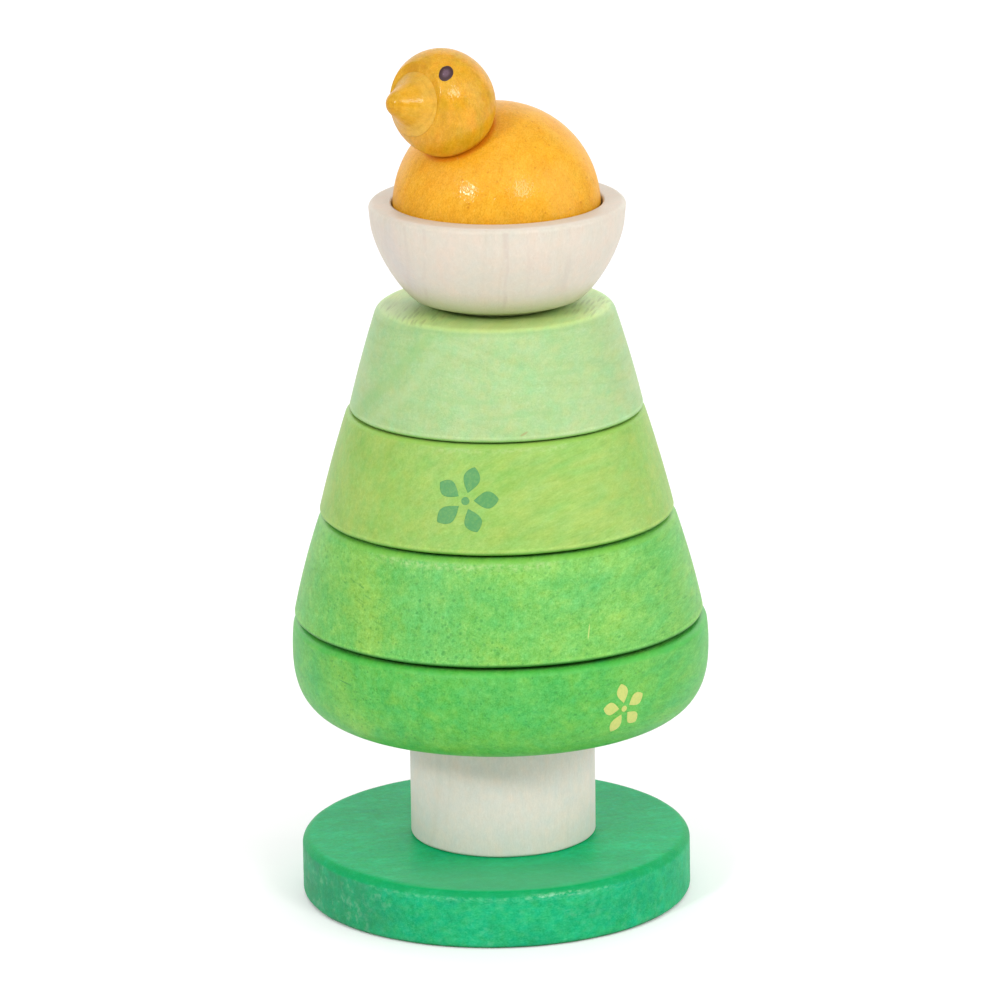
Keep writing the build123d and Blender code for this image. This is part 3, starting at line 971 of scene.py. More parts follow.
def top_ring_touch(m, col, place, tint):
    """Coarse open vessels on the level top; growth layers that sweep up the left side; a painted
    pool of light on the top in front of the nest.
    """
    x, y, z = m.xyz()
    level = m.ramp(m.up(), 0.75, 0.97)
    sway = m.swing(place, 2.0, 0.5, (4.0, 2.0, 8.0), (0.05, 0.12, 0.12))
    n = m.node("ShaderNodeSeparateXYZ")
    m.put(n.inputs[0], place)
    u, v, w = n.outputs
    cut_ = m.cells(m.vec(m.math("DIVIDE", u, 8.0), m.math("DIVIDE", v, 0.85), 0.37), 1.0)
    zone = m.math("MAXIMUM", m.ramp(m.away((-22.0, -11.0, 133.0)), 15.0, 6.0),
                  m.math("MULTIPLY", m.ramp(m.away((24.0, -6.0, 133.0)), 15.0, 6.0), 0.6))
    col = m.mix(m.times(level, zone, m.ramp(cut_, 0.5, 0.24), 0.55), col, tint(134, 154, 104))
    dull = m.times(level, m.ramp(m.away((-26.0, -6.0, 133.0)), 15.0, 7.0))
    col = m.mix(m.times(dull, 0.5), col, tint(170, 196, 134))
    # painted light on the top just in front of the nest, where the bowl's shadow falls
    near = m.times(level, m.ramp(m.away((0.0, -14.0, 133.0)), 24.0, 8.0))
    col = m.mix(m.times(near, m.ramp(sway, -0.9, 0.8, 0.5, 1.0), 0.5), col, tint(190, 220, 112))
    side = m.ramp(m.up(), 0.6, 0.4)
    layers = (0.71, -0.145, -0.69)
    left = m.times(side, m.ramp(x, -9.0, -14.0), m.ramp(y, 3.0, -6.0))
    col = m.mix(m.times(left, m.plane(layers, -97.4, 1.7, sway, 0.7), 0.32), col,
                tint(144, 206, 114))
    col = m.mix(m.times(left, m.plane(layers, -93.4, 1.8, sway, 0.8), 0.25), col,
                tint(200, 232, 168))
    for height, lo, hi in ((118.8, -17.0, 3.0), (115.7, -7.0, 15.0), (123.5, 4.0, 20.0)):
        on = m.times(side, m.ramp(x, lo, lo + 5.0), m.ramp(x, hi, hi - 5.0), m.ramp(y, 0.0, -9.0))
        col = m.mix(m.times(on, m.plane((0.0, 0.0, 1.0), height, 0.7, sway, 0.7), 0.25), col,
                    tint(150, 206, 124))
    return col


def lower_ring_touch(m, col, place, tint):
    """Open channels: cut lengthwise at the left, across the end grain in the middle."""
    x, y, z = m.xyz()
    n = m.node("ShaderNodeSeparateXYZ")
    m.put(n.inputs[0], place)
    u, v, w = n.outputs
    lie = [m.dot(m.p, tuple(1000 * c for c in axis)) for axis in frame_of((0.64, -0.7, -0.29))]
    long_ = m.cells(m.vec(m.math("DIVIDE", lie[0], 6.0), m.math("DIVIDE", lie[1], 0.9),
                          m.math("DIVIDE", lie[2], 0.9)), 1.0)
    left = m.ramp(m.away((-28.5, -28.5, 75.0)), 13.0, 6.0)
    col = m.mix(m.times(left, m.ramp(long_, 0.36, 0.14), 0.4), col, tint(66, 154, 54))
    ends = m.cells(m.vec(m.math("DIVIDE", u, 12.0), m.math("DIVIDE", v, 1.7),
                         m.math("DIVIDE", w, 1.6)), 1.0)
    mid_ = m.times(m.ramp(x, -25.0, -18.0), m.ramp(x, 10.0, -6.0), m.ramp(y, 0.0, -9.0),
                   m.ramp(z, 84.0, 80.0))
    return m.mix(m.times(mid_, m.ramp(ends, 0.3, 0.12), 0.55), col, tint(56, 156, 60))


def nest_touch(m, col, place, tint):
    """A few faint upright growth lines on the bowl; a lighter rim at the front; painted green light
    from the ring below on the foot of the bowl.
    """
    x, y, z = m.xyz()
    front = m.times(m.ramp(y, -4.0, -10.0), m.ramp(m.up(), 0.5, 0.2))
    sway = m.swing(place, 2.0, 0.5, (4.0, 2.0, 8.0), (0.03, 0.2, 0.2))
    broken = m.ramp(m.swing(place, 2.0, 0.5, (1.0, 9.0, 4.0), (0.16, 0.3, 0.3)), -0.8, 0.6)
    for x0, half, strength in ((-14.8, 0.9, 0.4), (1.9, 0.8, 0.42), (-18.9, 0.8, 0.25),
                               (7.4, 0.7, 0.2), (14.9, 1.0, 0.22)):
        on = m.times(front, broken, m.plane((1.0, 0.0, 0.0), x0, half, sway, 0.9), strength)
        col = m.mix(on, col, tint(212, 194, 182))
    rim_ = m.times(m.ramp(m.up(), 0.6, 0.95), m.ramp(y, -13.0, -23.0), m.ramp(z, 154.0, 155.5))
    col = m.mix(m.times(rim_, 0.6), col, tint(244, 232, 220))
    # painted light: green light thrown up from the ring onto the foot of the bowl
    low = m.times(m.ramp(z, 141.0, 133.6), m.ramp(sway, -1.2, 0.6, 0.6, 1.0))
    return m.mix(m.times(low, 0.6), col, tint(204, 218, 150))


def body_touch(m, col, place, tint):
    """Small dark specks; painted shade round the neck, where the head meets the body."""
    dots = m.cells(m.scaled(m.p, 1000.0 / 1.7), 1.0)
    crowd = m.swing(place, 2.0, 0.5, (5.0, 1.0, 3.0), (0.12, 0.12, 0.12))
    col = m.mix(m.times(m.ramp(dots, 0.22, 0.08), m.ramp(crowd, -0.6, 0.9), 0.55), col,
                tint(196, 104, 6))
    # painted shade round the neck, where the head meets the body
    return m.mix(m.times(m.ramp(m.away(neck_point), 9.1, 8.0), 0.7), col, tint(230, 120, 2))


def head_touch(m, col, place, tint):
    """A darker growth layer over the beak; painted highlights on the crown and beside the eye;
    painted shade round the neck, where the head meets the body.
    """
    for a, b, width, colour, strength in (
            ((-19.1, -15.8, 186.8), (-15.3, -16.2, 189.7), 1.9, (214, 136, 4), 0.4),
            ((-16.1, -15.8, 189.4), (-11.9, -18.8, 189.1), 1.6, (214, 140, 6), 0.35),
            # the two pale streaks that follow are painted highlights on the crown
            ((-15.0, -15.1, 190.2), (-13.8, -16.3, 190.2), 0.42, (252, 214, 140), 0.75),
            ((-13.0, -17.0, 190.0), (-12.6, -18.0, 189.6), 0.35, (252, 210, 130), 0.6),
            ((-11.7, -22.7, 183.9), (-10.5, -23.3, 179.7), 2.2, (208, 160, 16), 0.35),
            # a painted highlight beside the eye
            ((-8.7, -21.6, 185.8), (-7.1, -22.2, 183.3), 1.5, (250, 196, 84), 0.3)):
        col = m.mix(m.times(m.streak(a, b, width), strength), col, tint(*colour))
    # painted shade round the neck
    return m.mix(m.times(m.ramp(m.away(neck_point), 9.2, 8.0), 0.65), col, tint(212, 112, 2))


def beak_touch(m, col, place, tint):
    """The flared foot is paler."""
    d = m.math("SUBTRACT", m.dot(m.scaled(m.p, 1000.0), tuple(BEAK)), seat_point.dot(BEAK))
    return m.mix(m.times(m.ramp(d, 3.0, 1.3), 0.16), col, tint(250, 212, 130))


TOUCH = {"base_disc": base_touch, "lower_ring": lower_ring_touch, "top_ring": top_ring_touch,
         "nest_bowl": nest_touch, "bird_body": body_touch, "bird_head": head_touch,
         "bird_beak": beak_touch}


RAYS = (-0.3, -0.95, -0.07)    # the rings' grain lies level and runs away to the right
LOOKS, MATS = {}, {}
TONE = {"base_disc": (1.25, 0.745, 0.825), "trunk": (0.81, 0.785, 0.825),
        "bottom_ring": (0.74, 0.75, 0.69), "lower_ring": (0.71, 0.67, 0.68),
        "upper_ring": (0.65, 0.655, 0.69), "top_ring": (0.687, 0.658, 0.687),
        "nest_bowl": (0.70, 0.705, 0.695), "centre_peg": (0.72, 0.72, 0.72),
        "bird_body": (0.69, 0.71, 0.71), "bird_head": (0.637, 0.66, 0.64),
        "bird_beak": (0.68, 0.70, 0.58)}
LOOKS["base_disc"] = dict(
    name="base_stain", base=lin(24, 178, 108), warm=lin(34, 204, 132), cool=lin(22, 166, 112),
    dark=lin(4, 126, 76), light=lin(70, 204, 150), grain=(0.96, 0.26, 0.02), stretch=2.5,
    pith=(30.0, -90.0), blotch=0.35, blotch_mm=9.0, cool_amount=0.35, tint=0.25, layer=0.06,
    fibre=0.01, grit=0.026, mottle=0.026, cloud=0.014, warmth=0.03, pores=0.25, wear=0.0,
    painted_edge_shading=0.75, painted_edge_shading_color=lin(8, 166, 86), specular=0.065, seed=(3.0, 40.0, 12.0),
    painted_top_light=(0.1, 1.12, 1.02), painted_low_edge_shade=(-0.1, (0.5, 0.62, 0.5)),
    painted_glints=[(11.35, 0.6, -30.0, 24.0, lin(104, 224, 164), 0.55),
            (11.6, 0.8, 6.0, 16.0, lin(140, 240, 190), 0.8),
            (10.8, 0.5, -24.0, 30.0, lin(84, 214, 150), 0.35)])
LOOKS["bottom_ring"] = dict(
    name="leaf_stain", base=lin(80, 184, 72), warm=lin(132, 200, 78), cool=lin(58, 180, 92),
    dark=lin(36, 132, 48), light=lin(138, 216, 114), grain=RAYS, pith=(-40.0, -70.0),
    blotch=0.4, blotch_mm=15.0, cool_amount=0.3, tint=0.3, layer=0.12, fibre=0.022,
    grit=0.032, mottle=0.034, cloud=0.016, warmth=0.02, pores=0.4, vessels=0.45, wear=0.25,
    patches=0.2, painted_edge_shading=0.6, painted_edge_shading_color=lin(64, 190, 66), specular=0.38, seed=(51.0, 4.0, 32.0),
    stains=[((-35.0, -29.0, 58.0), (-33.0, -31.0, 49.0), 9.0, lin(138, 200, 72), 0.5),
            ((-5.0, -45.0, 57.0), (9.0, -44.5, 57.0), 8.0, lin(64, 184, 96), 0.35),
            ((14.0, -38.0, 47.0), (24.0, -34.0, 48.0), 8.0, lin(116, 196, 70), 0.3),
            ((-12.0, -42.0, 47.0), (2.0, -43.0, 46.0), 6.0, lin(112, 194, 66), 0.3)],
    painted_glints=[(62.7, 0.9, -26.0, 22.0, lin(150, 222, 118), 0.2)],
    marks=[((-35.33, -28.93, 57.37), (-32.05, -32.53, 56.77), 0.2, lin(50, 140, 60), 0.8)])
LOOKS["lower_ring"] = dict(
    name="mid_stain", base=lin(108, 200, 84), warm=lin(156, 216, 88), cool=lin(92, 202, 96),
    dark=lin(48, 146, 54), light=lin(166, 228, 128), grain=RAYS, pith=(50.0, -60.0),
    blotch=0.3, blotch_mm=15.0, cool_amount=0.3, tint=0.32, layer=0.12, fibre=0.028,
    grit=0.034, mottle=0.038, cloud=0.014, warmth=0.018, pores=0.42, vessels=0.42, wear=0.45,
    patches=0.2, wear_color=lin(158, 224, 132), painted_edge_shading=0.6, painted_edge_shading_color=lin(128, 212, 72),
    specular=0.38, seed=(11.0, 24.0, 2.0),
    stains=[((-30.0, -27.0, 82.0), (-27.5, -33.0, 68.0), 7.5, lin(160, 214, 80), 0.5),
            ((-18.0, -37.0, 81.0), (-12.0, -40.5, 68.0), 9.5, lin(90, 202, 104), 0.3),
            ((-4.0, -40.5, 80.0), (6.0, -41.0, 72.0), 8.0, lin(92, 202, 104), 0.2),
            ((21.0, -34.5, 81.0), (18.0, -37.5, 77.0), 6.0, lin(88, 198, 108), 0.3),
            ((27.0, -30.0, 73.0), (22.0, -36.0, 68.0), 8.0, lin(140, 212, 82), 0.4),
            # the band along z 84 is painted light on the rounded top edge
            ((4.0, -40.0, 84.0), (27.0, -29.0, 84.0), 4.0, lin(150, 214, 84), 0.4),
            ((6.0, -43.0, 67.0), (14.0, -42.0, 66.5), 6.0, lin(132, 212, 92), 0.3)],
    painted_low_edge_shade=(63.9, (0.14, 0.42, 0.14)),
    painted_glints=[(84.7, 1.4, -27.0, 12.0, lin(206, 240, 158), 0.55)],
    marks=[((19.21, -38.26, 72.89), (18.55, -39.99, 67.62), 0.28, lin(206, 236, 132), 0.95),
           ((-32.88, -24.35, 79.7), (-30.58, -27.4, 79.21), 0.18, lin(70, 150, 56), 0.7),
           ((-30.03, -28.02, 79.16), (-27.29, -30.91, 78.63), 0.2, lin(64, 146, 52), 0.8),
           ((-31.71, -28.94, 72.43), (-29.47, -31.41, 71.88), 0.18, lin(70, 150, 52), 0.8),
           ((-29.46, -31.17, 72.59), (-26.11, -34.34, 71.59), 0.2, lin(60, 142, 46), 0.9),
           ((14.11, -37.51, 82.42), (17.71, -37.14, 78.92), 0.16, lin(150, 226, 150), 0.45)])
LOOKS["upper_ring"] = dict(
    name="yellow_stain", base=lin(162, 206, 92), warm=lin(182, 212, 100),
    cool=lin(148, 210, 90), dark=lin(122, 174, 62), light=lin(190, 222, 128),
    grain=(0.84, 0.48, 0.25), pith=(-50.0, 80.0), blotch=0.45, blotch_mm=12.0,
    cool_amount=0.4, tint=0.4, layer=0.15, fibre=0.018, grit=0.017, mottle=0.02, cloud=0.013,
    warmth=0.018, pores=0.25, vessels=0.2, wear=0.45, wear_color=lin(188, 230, 140), painted_edge_shading=0.65,
    painted_edge_shading_color=lin(160, 214, 84), specular=0.38, seed=(21.0, 14.0, 62.0),
    painted_low_edge_shade=(87.0, (0.36, 0.64, 0.22)),
    painted_glints=[(108.5, 0.9, -14.0, 15.0, lin(208, 234, 150), 0.4)])
LOOKS["top_ring"] = dict(
    name="pale_stain", base=lin(176, 216, 142), warm=lin(192, 218, 150),
    cool=lin(160, 220, 144), dark=lin(138, 184, 104), light=lin(206, 234, 180),
    grain=(-0.21, -0.977, 0.0), pith=(26.0, -66.0), blotch=0.45, blotch_mm=13.0,
    cool_amount=0.4, tint=0.35, layer=0.2, fibre=0.013, grit=0.015, mottle=0.014, cloud=0.01,
    warmth=0.018, pores=0.35, wear=0.4, wear_color=lin(204, 236, 174), painted_edge_shading=0.3,
    painted_edge_shading_color=lin(168, 220, 140), specular=0.38, seed=(2.0, 64.0, 22.0),
    painted_top_light=(1.56, 1.39, 1.3), painted_low_edge_shade=(110.1, (0.6, 0.86, 0.45)),
    marks=[((6.63, -30.83, 112.52), (4.49, -31.49, 111.41), 0.3, lin(176, 170, 108), 0.7)])
LOOKS["trunk"] = dict(
    name="bare_trunk", base=lin(232, 228, 214), warm=lin(238, 226, 206),
    cool=lin(222, 226, 212), dark=lin(198, 190, 166), light=lin(244, 242, 232),
    grain=(0.03, 0.02, 1.0), pith=(70.0, 30.0), blotch=0.4, cool_amount=0.3, tint=0.35,
    layer=0.12, layer_mm=1.1, fibre=0.01, grit=0.011, mottle=0.007, cloud=0.004, stretch=2.5,
    warmth=0.01, pores=0.12, pore_mm=(6.0, 0.7), wear=0.1, rough=0.5, specular=0.35)
LOOKS["nest_bowl"] = dict(
    name="bare_nest", base=lin(230, 220, 204), warm=lin(236, 214, 196),
    cool=lin(222, 218, 202), dark=lin(198, 180, 150), light=lin(244, 238, 228),
    grain=(0.05, 0.0, 1.0), pith=(80.0, -30.0), blotch=0.28, cool_amount=0.2, tint=0.24,
    layer=0.1, layer_mm=1.4, fibre=0.006, grit=0.007, mottle=0.006, cloud=0.004, stretch=3.0,
    warmth=0.008, pores=0.1, pore_mm=(6.0, 0.8), wear=0.1, rough=0.48, specular=0.35,
    seed=(6.0, 3.0, 2.0), painted_top_light=(0.94, 0.92, 0.92),
    stains=[((-22.0, -13.0, 150.0), (-19.0, -14.0, 141.0), 7.5, lin(214, 208, 210), 0.42),
            ((-6.0, -25.0, 146.0), (4.0, -24.0, 142.0), 8.0, lin(222, 220, 202), 0.3)])
LOOKS["centre_peg"] = dict(
    name="bare_peg", base=lin(228, 212, 182), warm=lin(232, 208, 170),
    cool=lin(222, 212, 186), dark=lin(184, 156, 116), light=lin(240, 230, 208),
    grain=(0.0, 0.02, 1.0), pith=(40.0, 10.0), blotch=0.4, cool_amount=0.2, tint=0.3,
    layer=0.4, layer_mm=1.0, fibre=0.025, grit=0.012, mottle=0.012, pores=0.35,
    pore_mm=(9.0, 0.7), wear=0.1, rough=0.55)
LOOKS["bird_body"] = dict(
    name="orange_stain", base=lin(252, 178, 36), warm=lin(255, 190, 54), cool=lin(243, 163, 28),
    dark=lin(218, 132, 10), light=lin(255, 208, 96), grain=(0.2, -0.35, 0.9),
    pith=(50.0, -30.0), blotch=0.4, blotch_mm=8.0, cool_amount=0.2, tint=0.25, layer=0.1,
    fibre=0.014, grit=0.042, mottle=0.02, cloud=0.007, warmth=0.012, pores=0.3,
    pore_mm=(3.0, 0.7), wear=0.0, rough=0.45, specular=0.06, lacquer=0.1, seed=(8.0, 1.0, 4.0))
LOOKS["bird_head"] = dict(
    name="gold_stain", base=lin(240, 174, 28), warm=lin(254, 174, 44), cool=lin(226, 170, 20),
    dark=lin(196, 128, 2), light=lin(252, 200, 84), grain=(0.1, -0.6, 0.7),
    pith=(-30.0, 40.0), blotch=0.6, blotch_mm=5.0, cool_amount=0.32, tint=0.4, layer=0.1,
    fibre=0.015, grit=0.03, mottle=0.03, cloud=0.012, warmth=0.022, pores=0.3,
    pore_mm=(3.0, 0.7), wear=0.0, rough=0.45, specular=0.06, lacquer=0.14, seed=(5.0, 41.0, 9.0))
LOOKS["bird_beak"] = dict(
    name="beak_stain", base=lin(234, 168, 26), warm=lin(244, 178, 46), cool=lin(216, 158, 18),
    dark=lin(192, 132, 4), light=lin(250, 198, 96), grain=tuple(BEAK),
    pith=(seat_point.dot(frame_of(BEAK)[1]) + 9.2, seat_point.dot(frame_of(BEAK)[2]) + 3.7),
    blotch=0.7, blotch_mm=4.0, cool_amount=0.5, tint=0.4, layer=0.4, layer_mm=0.8,
    fibre=0.018, grit=0.02, mottle=0.02, warmth=0.02, pores=0.2, wear=0.15, rough=0.4,
    specular=0.1, lacquer=0.09, seed=(9.0, 9.0, 4.0))
for node, look in LOOKS.items():
    look = dict(look)
    lines = look.pop("marks", [])
    MATS[node] = wood(after=marks(lines, TONE[node], TOUCH.get(node)), tone=TONE[node], **look)
MATS["peg_root"] = MATS["neck_dowel"] = MATS["centre_peg"]
for node, o in pieces.items():
    o.data.materials.append(MATS[node])


# ---- painted eyes ---------------------------------------------------------------
def plate(rings, closed_map):
    """A thin closed plate that follows a surface. rings holds the rim's points in the plate's
    own plane from the middle outwards; closed_map gives the point at (x, y, top, spread)."""
    verts, faces = [], []
    n = len(rings[0])
    for top in (True, False):
        start = len(verts)
        verts.append(closed_map(0.0, 0.0, top, 0.0))
        for k, ring in enumerate(rings):
            for x, y in ring:
                verts.append(closed_map(x, y, top, (k + 1) / len(rings)))
        for i in range(n):
            j = (i + 1) % n
            tri = (start, start + 1 + i, start + 1 + j)
            faces.append(tri if top else tri[::-1])
        for k in range(len(rings) - 1):
            a, b = start + 1 + k * n, start + 1 + (k + 1) * n
            for i in range(n):
                j = (i + 1) % n
                quad = (a + i, b + i, b + j, a + j)
                faces.append(quad if top else quad[::-1])
    last = 1 + (len(rings) - 1) * n
    down = 1 + len(rings) * n + last
    for i in range(n):
        j = (i + 1) % n
        faces.append((last + i, down + i, down + j, last + j))
    return verts, faces


def eye(name, direction, up, wide, tall, lean):
    """An oval of paint on the head, with its long side lean radians from up."""
    d = Vector(direction).normalized()
    side = Vector(up).cross(d).normalized()
    rise = d.cross(side).normalized()
    c, s = math.cos(lean), math.sin(lean)
    rings = []
    for f in (0.2, 0.4, 0.58, 0.74, 0.86, 0.94, 0.98, 1.0):
        ring = []
        for i in range(72):
            t = 2 * math.pi * i / 72
            wob = 1 + 0.012 * math.sin(3 * t + 0.7) + 0.008 * math.sin(5 * t)
            x, y = wide / 2 * f * math.cos(t) * wob, tall / 2 * f * math.sin(t) * wob
            ring.append((x * c + y * s, -x * s + y * c))
        rings.append(ring)

    def place(x, y, top, f):
        p = d + side * (x / HEAD_R) + rise * (y / HEAD_R)
        p.normalize()
        r = head_radius(p)
        lift = 0.06 * (1 - f**6) + 0.0 if top else -0.15
        return HEAD_C + p * (r + lift)

    return make_mesh(name, *plate(rings, place))


eye_dir = Vector((0.83, -8.14, 7.94)).normalized()
far_dir = Vector((-0.742, 0.346, 0.574)).normalized()
paint = Mat("eye_paint")
pupil = paint.noise(paint.scaled(paint.p, 900.0), 1.0, 3.0, 0.6)
middle = paint.node("ShaderNodeAttribute")
middle.attribute_name = "middle"
# painted highlight: the lighter middle of each eye and its pale flecks stand in for the gloss on the
# paint
eye_highlight_middle = paint.math("MULTIPLY", paint.ramp(middle.outputs["Fac"], 0.24, 0.8),
                  paint.ramp(pupil, 0.2, 0.7, 0.55, 1.0))
eye_glint = paint.ramp(paint.cells(paint.scaled(paint.p, 1000.0 / 0.55), 1.0), 0.3, 0.1)
shade = paint.mix(eye_highlight_middle, lin(50, 16, 20), lin(98, 72, 86))
paint.link(paint.mix(paint.times(eye_glint, paint.ramp(pupil, 0.35, 0.6), eye_highlight_middle, 0.8), shade,
                     lin(146, 122, 134)), paint.bsdf.inputs["Base Color"])
paint.link(paint.math("ADD", 0.3, paint.math("MULTIPLY", pupil, 0.12)),
           paint.bsdf.inputs["Roughness"])
paint.link(paint.bump(pupil, 0.00003, 0.6), paint.bsdf.inputs["Normal"])
for name, d, lean in (("eye_near", eye_dir, 0.5), ("eye_far", far_dir, -0.5)):
    up = Vector((0, 0, 1))
    o = eye(name, d, up, 2.8, 3.85, lean)
    values = []
    n = 72
    for top in (1, 0):
        values.append(1.0)
        for f in (0.2, 0.4, 0.58, 0.74, 0.86, 0.94, 0.98, 1.0):
            values += [1.0 - f] * n
    a = o.data.attributes.new("middle", "FLOAT", "POINT")
    a.data.foreach_set("value", np.array(values, float))
    o.data.materials.append(paint.m)
    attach(o, "bird")


# ---- printed blossoms on two rings ----------------------------------------------
def skin(turned, phi, s, lift, dx):
    """A point on a turned piece's side, s mm along its profile from the bottom edge."""
    ks = [k for k, c in enumerate(turned.charts) if c == "side"]
    for k in ks:
        step = math.dist(turned.pts[k], turned.pts[k + 1])
        if s <= step or k == ks[-1]:
            break
        s -= step
    t = s / step
    (r0, z0), (r1, z1) = turned.point(phi, k), turned.point(phi, k + 1)
    n0, n1 = turned.normals[k], turned.normals[k + 1]
    r = r0 + (r1 - r0) * t + (n0[0] + (n1[0] - n0[0]) * t) * lift
    z = z0 + (z1 - z0) * t + (n0[1] + (n1[1] - n0[1]) * t) * lift
    return Vector((r * math.cos(phi) + dx, r * math.sin(phi), z))


def run_to(turned, height):
    """How far along the side's profile a height is."""
    s = 0.0
    for k, c in enumerate(turned.charts):
        if c == "side":
            if turned.pts[k + 1][1] >= height:
                return s
            s += math.dist(turned.pts[k], turned.pts[k + 1])
    return s


def petal(length, width):
    """Rim of a rounded petal that points up, with its narrow end at the origin."""
    out = []
    for i in range(56):
        t = 2 * math.pi * i / 56
        y = (1 - math.cos(t)) / 2
        x = math.copysign(width / 2 * (math.sin(math.pi * y**1.25)) ** 0.8, math.sin(t))
        out.append((x if 0 < y < 1 else 0.0, y * length))
    return out


def blossom(name, turned, phi0, height, dx, size, turn, petals=5):
    """Five petals and a round centre, as thin prints that follow the ring's side."""
    s0 = run_to(turned, height)
    r0 = next(p[0] for p in turned.pts if p[1] >= height)
    shapes = []
    for i in range(petals):
        a = turn + 2 * math.pi * i / petals
        big = 1.0 + 0.06 * math.sin(2.4 * i + 1.0)
        rim_ = petal(0.4 * size * big, 0.27 * size)
        c, s_ = math.cos(a), math.sin(a)
        mid = (0.0, 0.62 * 0.4 * size * big)
        gap = 0.13 * size
        shapes.append((mid, rim_, c, s_, gap))
    dot = [(0.065 * size * math.cos(2 * math.pi * i / 40),
            0.065 * size * math.sin(2 * math.pi * i / 40)) for i in range(40)]
    shapes.append(((0.0, 0.0), dot, 1.0, 0.0, 0.0))
    verts, faces = [], []
    for mid, rim_, c, s_, gap in shapes:
        rings = [[(mid[0] + (x - mid[0]) * f, mid[1] + (y - mid[1]) * f) for x, y in rim_]
                 for f in (0.25, 0.5, 0.75, 0.92, 1.0)]

        def place(x, y, top, f):
            if f == 0.0:
                x, y = mid
            y += gap
            x, y = x * c + y * s_, -x * s_ + y * c
            lift = 0.03 if top else -0.12
            return skin(turned, phi0 + x / r0, s0 + y, lift, dx)

        v, fs = plate(rings, place)
        n = len(verts)
        verts += v
        faces += [tuple(q + n for q in face) for face in fs]
    return make_mesh(name, verts, faces)


def ink(node, name, colour, cover):
    """The ring's own wood with a thin coat of ink."""
    look = dict(LOOKS[node], name=name, wear=0.0, painted_edge_shading=0.0, painted_glints=(), painted_low_edge_shade=None,
                tone=TONE[node])
    look.pop("marks", None)
    colour = tuple(c * t for c, t in zip(colour, TONE[node])) + (1.0,)
    return wood(after=lambda m, col, place: m.mix(
        m.ramp(m.noise(m.scaled(place, 1.6, (4.0, 5.0, 6.0)), 1.0, 3.0, 0.6), 0.25, 0.65,
               cover - 0.2, cover), col, colour), **look)


for name, node, phi, height, size, turn, colour, cover in (
        ("print_upper", "upper_ring", -100.7, 98.7, 13.6, 0.25, lin(72, 160, 94), 0.86),
        ("print_bottom", "bottom_ring", -54.6, 52.6, 10.6, -0.15, lin(216, 216, 124), 0.92)):
    o = blossom(name, shown[node], math.radians(phi), height, SHIFT[node], size, turn)
    o.data.materials.append(ink(node, name + "_ink", colour, cover))
    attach(o, BODIES[node])

# ---- floor, light, camera ----------------------------------------------------
me = bpy.data.meshes.new("floor")
rim_of_floor = [(1.25 * math.cos(math.tau * i / 96), 1.25 * math.sin(math.tau * i / 96), 0.0)
                for i in range(96)]
me.from_pydata(rim_of_floor, [], [tuple(range(96))])
floor = bpy.data.objects.new("floor", me)
bpy.context.collection.objects.link(floor)
fm = Mat("floor_paper")
fn = fm.noise(fm.scaled(fm.p, 40.0), 1.0, 3.0, 0.6)
fm.link(fm.mix(fn, (0.888, 0.864, 0.884, 1), (0.928, 0.904, 0.924, 1)), fm.bsdf.inputs["Base Color"])
fm.bsdf.inputs["Roughness"].default_value = 0.9
fm.bsdf.inputs["Specular IOR Level"].default_value = 0.1
fm.bsdf.inputs["Emission Color"].default_value = (1.0, 1.0, 1.0, 1.0)    # lit from below
fm.bsdf.inputs["Emission Strength"].default_value = 0.06
me.materials.append(fm.m)

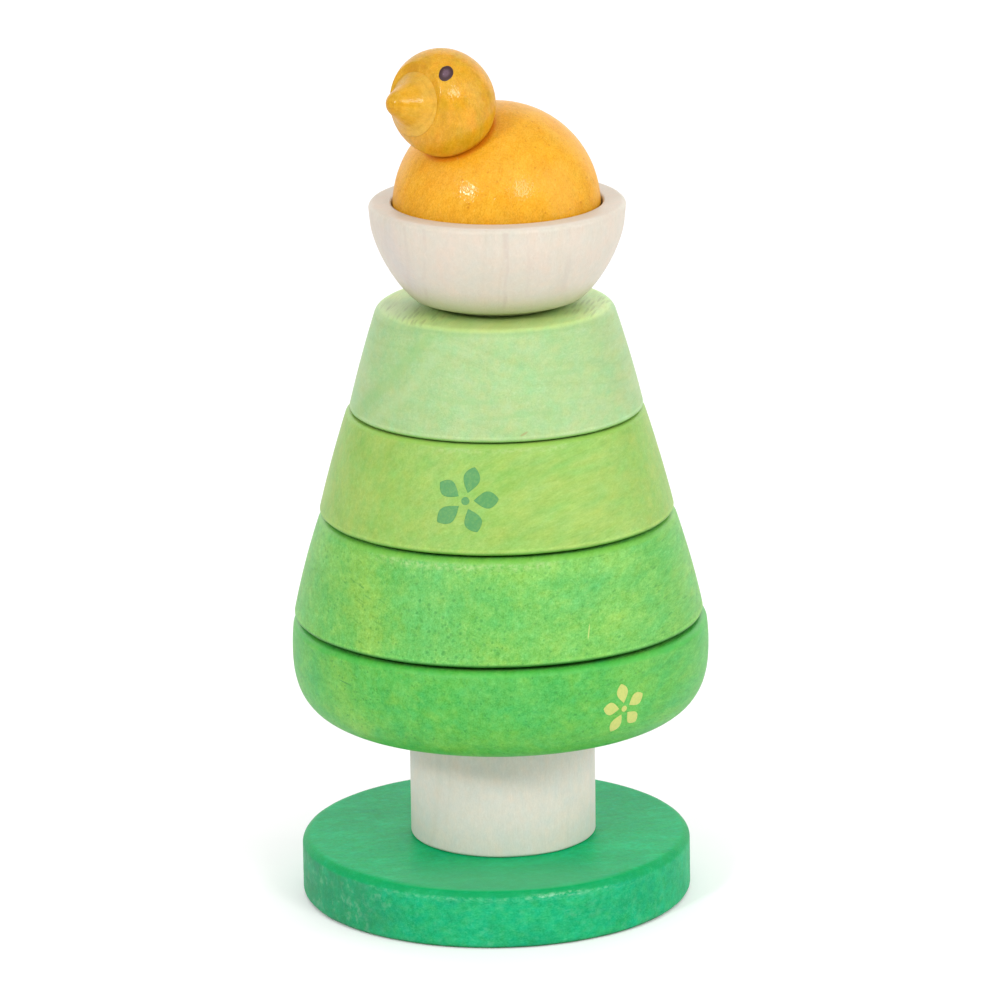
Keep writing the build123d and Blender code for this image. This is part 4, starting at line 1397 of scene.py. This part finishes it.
world = bpy.data.worlds.new("studio")
bpy.context.scene.world = world
world.use_nodes = True
bg = world.node_tree.nodes["Background"]
bg.inputs["Color"].default_value = (1.0, 1.0, 1.0, 1.0)
bg.inputs["Strength"].default_value = 0.5
seen = world.node_tree.nodes.new("ShaderNodeBackground")        # plain white behind the floor
seen.inputs["Color"].default_value = (1.0, 1.0, 1.0, 1.0)
seen.inputs["Strength"].default_value = 1.0
ray = world.node_tree.nodes.new("ShaderNodeLightPath")
pick = world.node_tree.nodes.new("ShaderNodeMixShader")
world.node_tree.links.new(ray.outputs["Is Camera Ray"], pick.inputs[0])
world.node_tree.links.new(bg.outputs[0], pick.inputs[1])
world.node_tree.links.new(seen.outputs[0], pick.inputs[2])
world.node_tree.links.new(pick.outputs[0], world.node_tree.nodes["World Output"].inputs["Surface"])


def softbox(name, towards, distance, size, power, look=(0, 0, 0.1)):
    d = bpy.data.lights.new(name, "AREA")
    d.shape = "RECTANGLE" if size[0] > 0.5 else "ELLIPSE"
    d.size, d.size_y = size
    d.energy = power
    o = bpy.data.objects.new(name, d)
    bpy.context.collection.objects.link(o)
    t = Vector(towards).normalized()
    o.location = Vector(look) + t * distance
    o.rotation_mode = "QUATERNION"
    o.rotation_quaternion = t.to_track_quat("Z", "Y")
    return o


softbox("left_box", (-0.50, -0.73, 0.465), 1.5, (0.23, 0.23), 7.1)
softbox("right_box", (0.47, -0.735, 0.485), 1.5, (0.42, 0.42), 5.6)
softbox("front_high", (0.1, -0.72, 0.72), 1.5, (1.3, 0.9), 3.8)
softbox("side_right", (1.0, -0.15, 0.3), 1.5, (1.1, 1.1), 6.4)
softbox("side_left", (-1.0, -0.15, 0.3), 1.5, (1.1, 1.1), 1.2)
softbox("side_high_left", (-0.75, -0.45, 0.7), 1.5, (0.9, 0.9), 2.1)
softbox("side_high_right", (0.75, -0.45, 0.7), 1.5, (0.9, 0.9), 2.1)
softbox("top_box", (0.0, 0.0, 1.0), 1.3, (1.4, 1.4), 2.8)
softbox("backdrop", (0.0, 1.0, 0.36), 1.7, (3.6, 1.5), 25.0, (0, 0, 0.15))

cam = bpy.data.cameras.new("camera")
cam_o = bpy.data.objects.new("camera", cam)
bpy.context.collection.objects.link(cam_o)
cam.sensor_width, cam.lens = 36.0, 245.3
cam.clip_start, cam.clip_end = 0.05, 50.0
cam_o.location = (0.00022, -1.4323, 0.48943)
cam_o.rotation_mode = "QUATERNION"
tilt = Matrix.Rotation(math.radians(90 - 15.63), 4, "X")
roll = Matrix.Rotation(math.radians(-0.787), 4, "Z")
cam_o.rotation_quaternion = (tilt @ roll).to_quaternion()
bpy.context.scene.camera = cam_o
bpy.context.scene.view_settings.view_transform = "Standard"
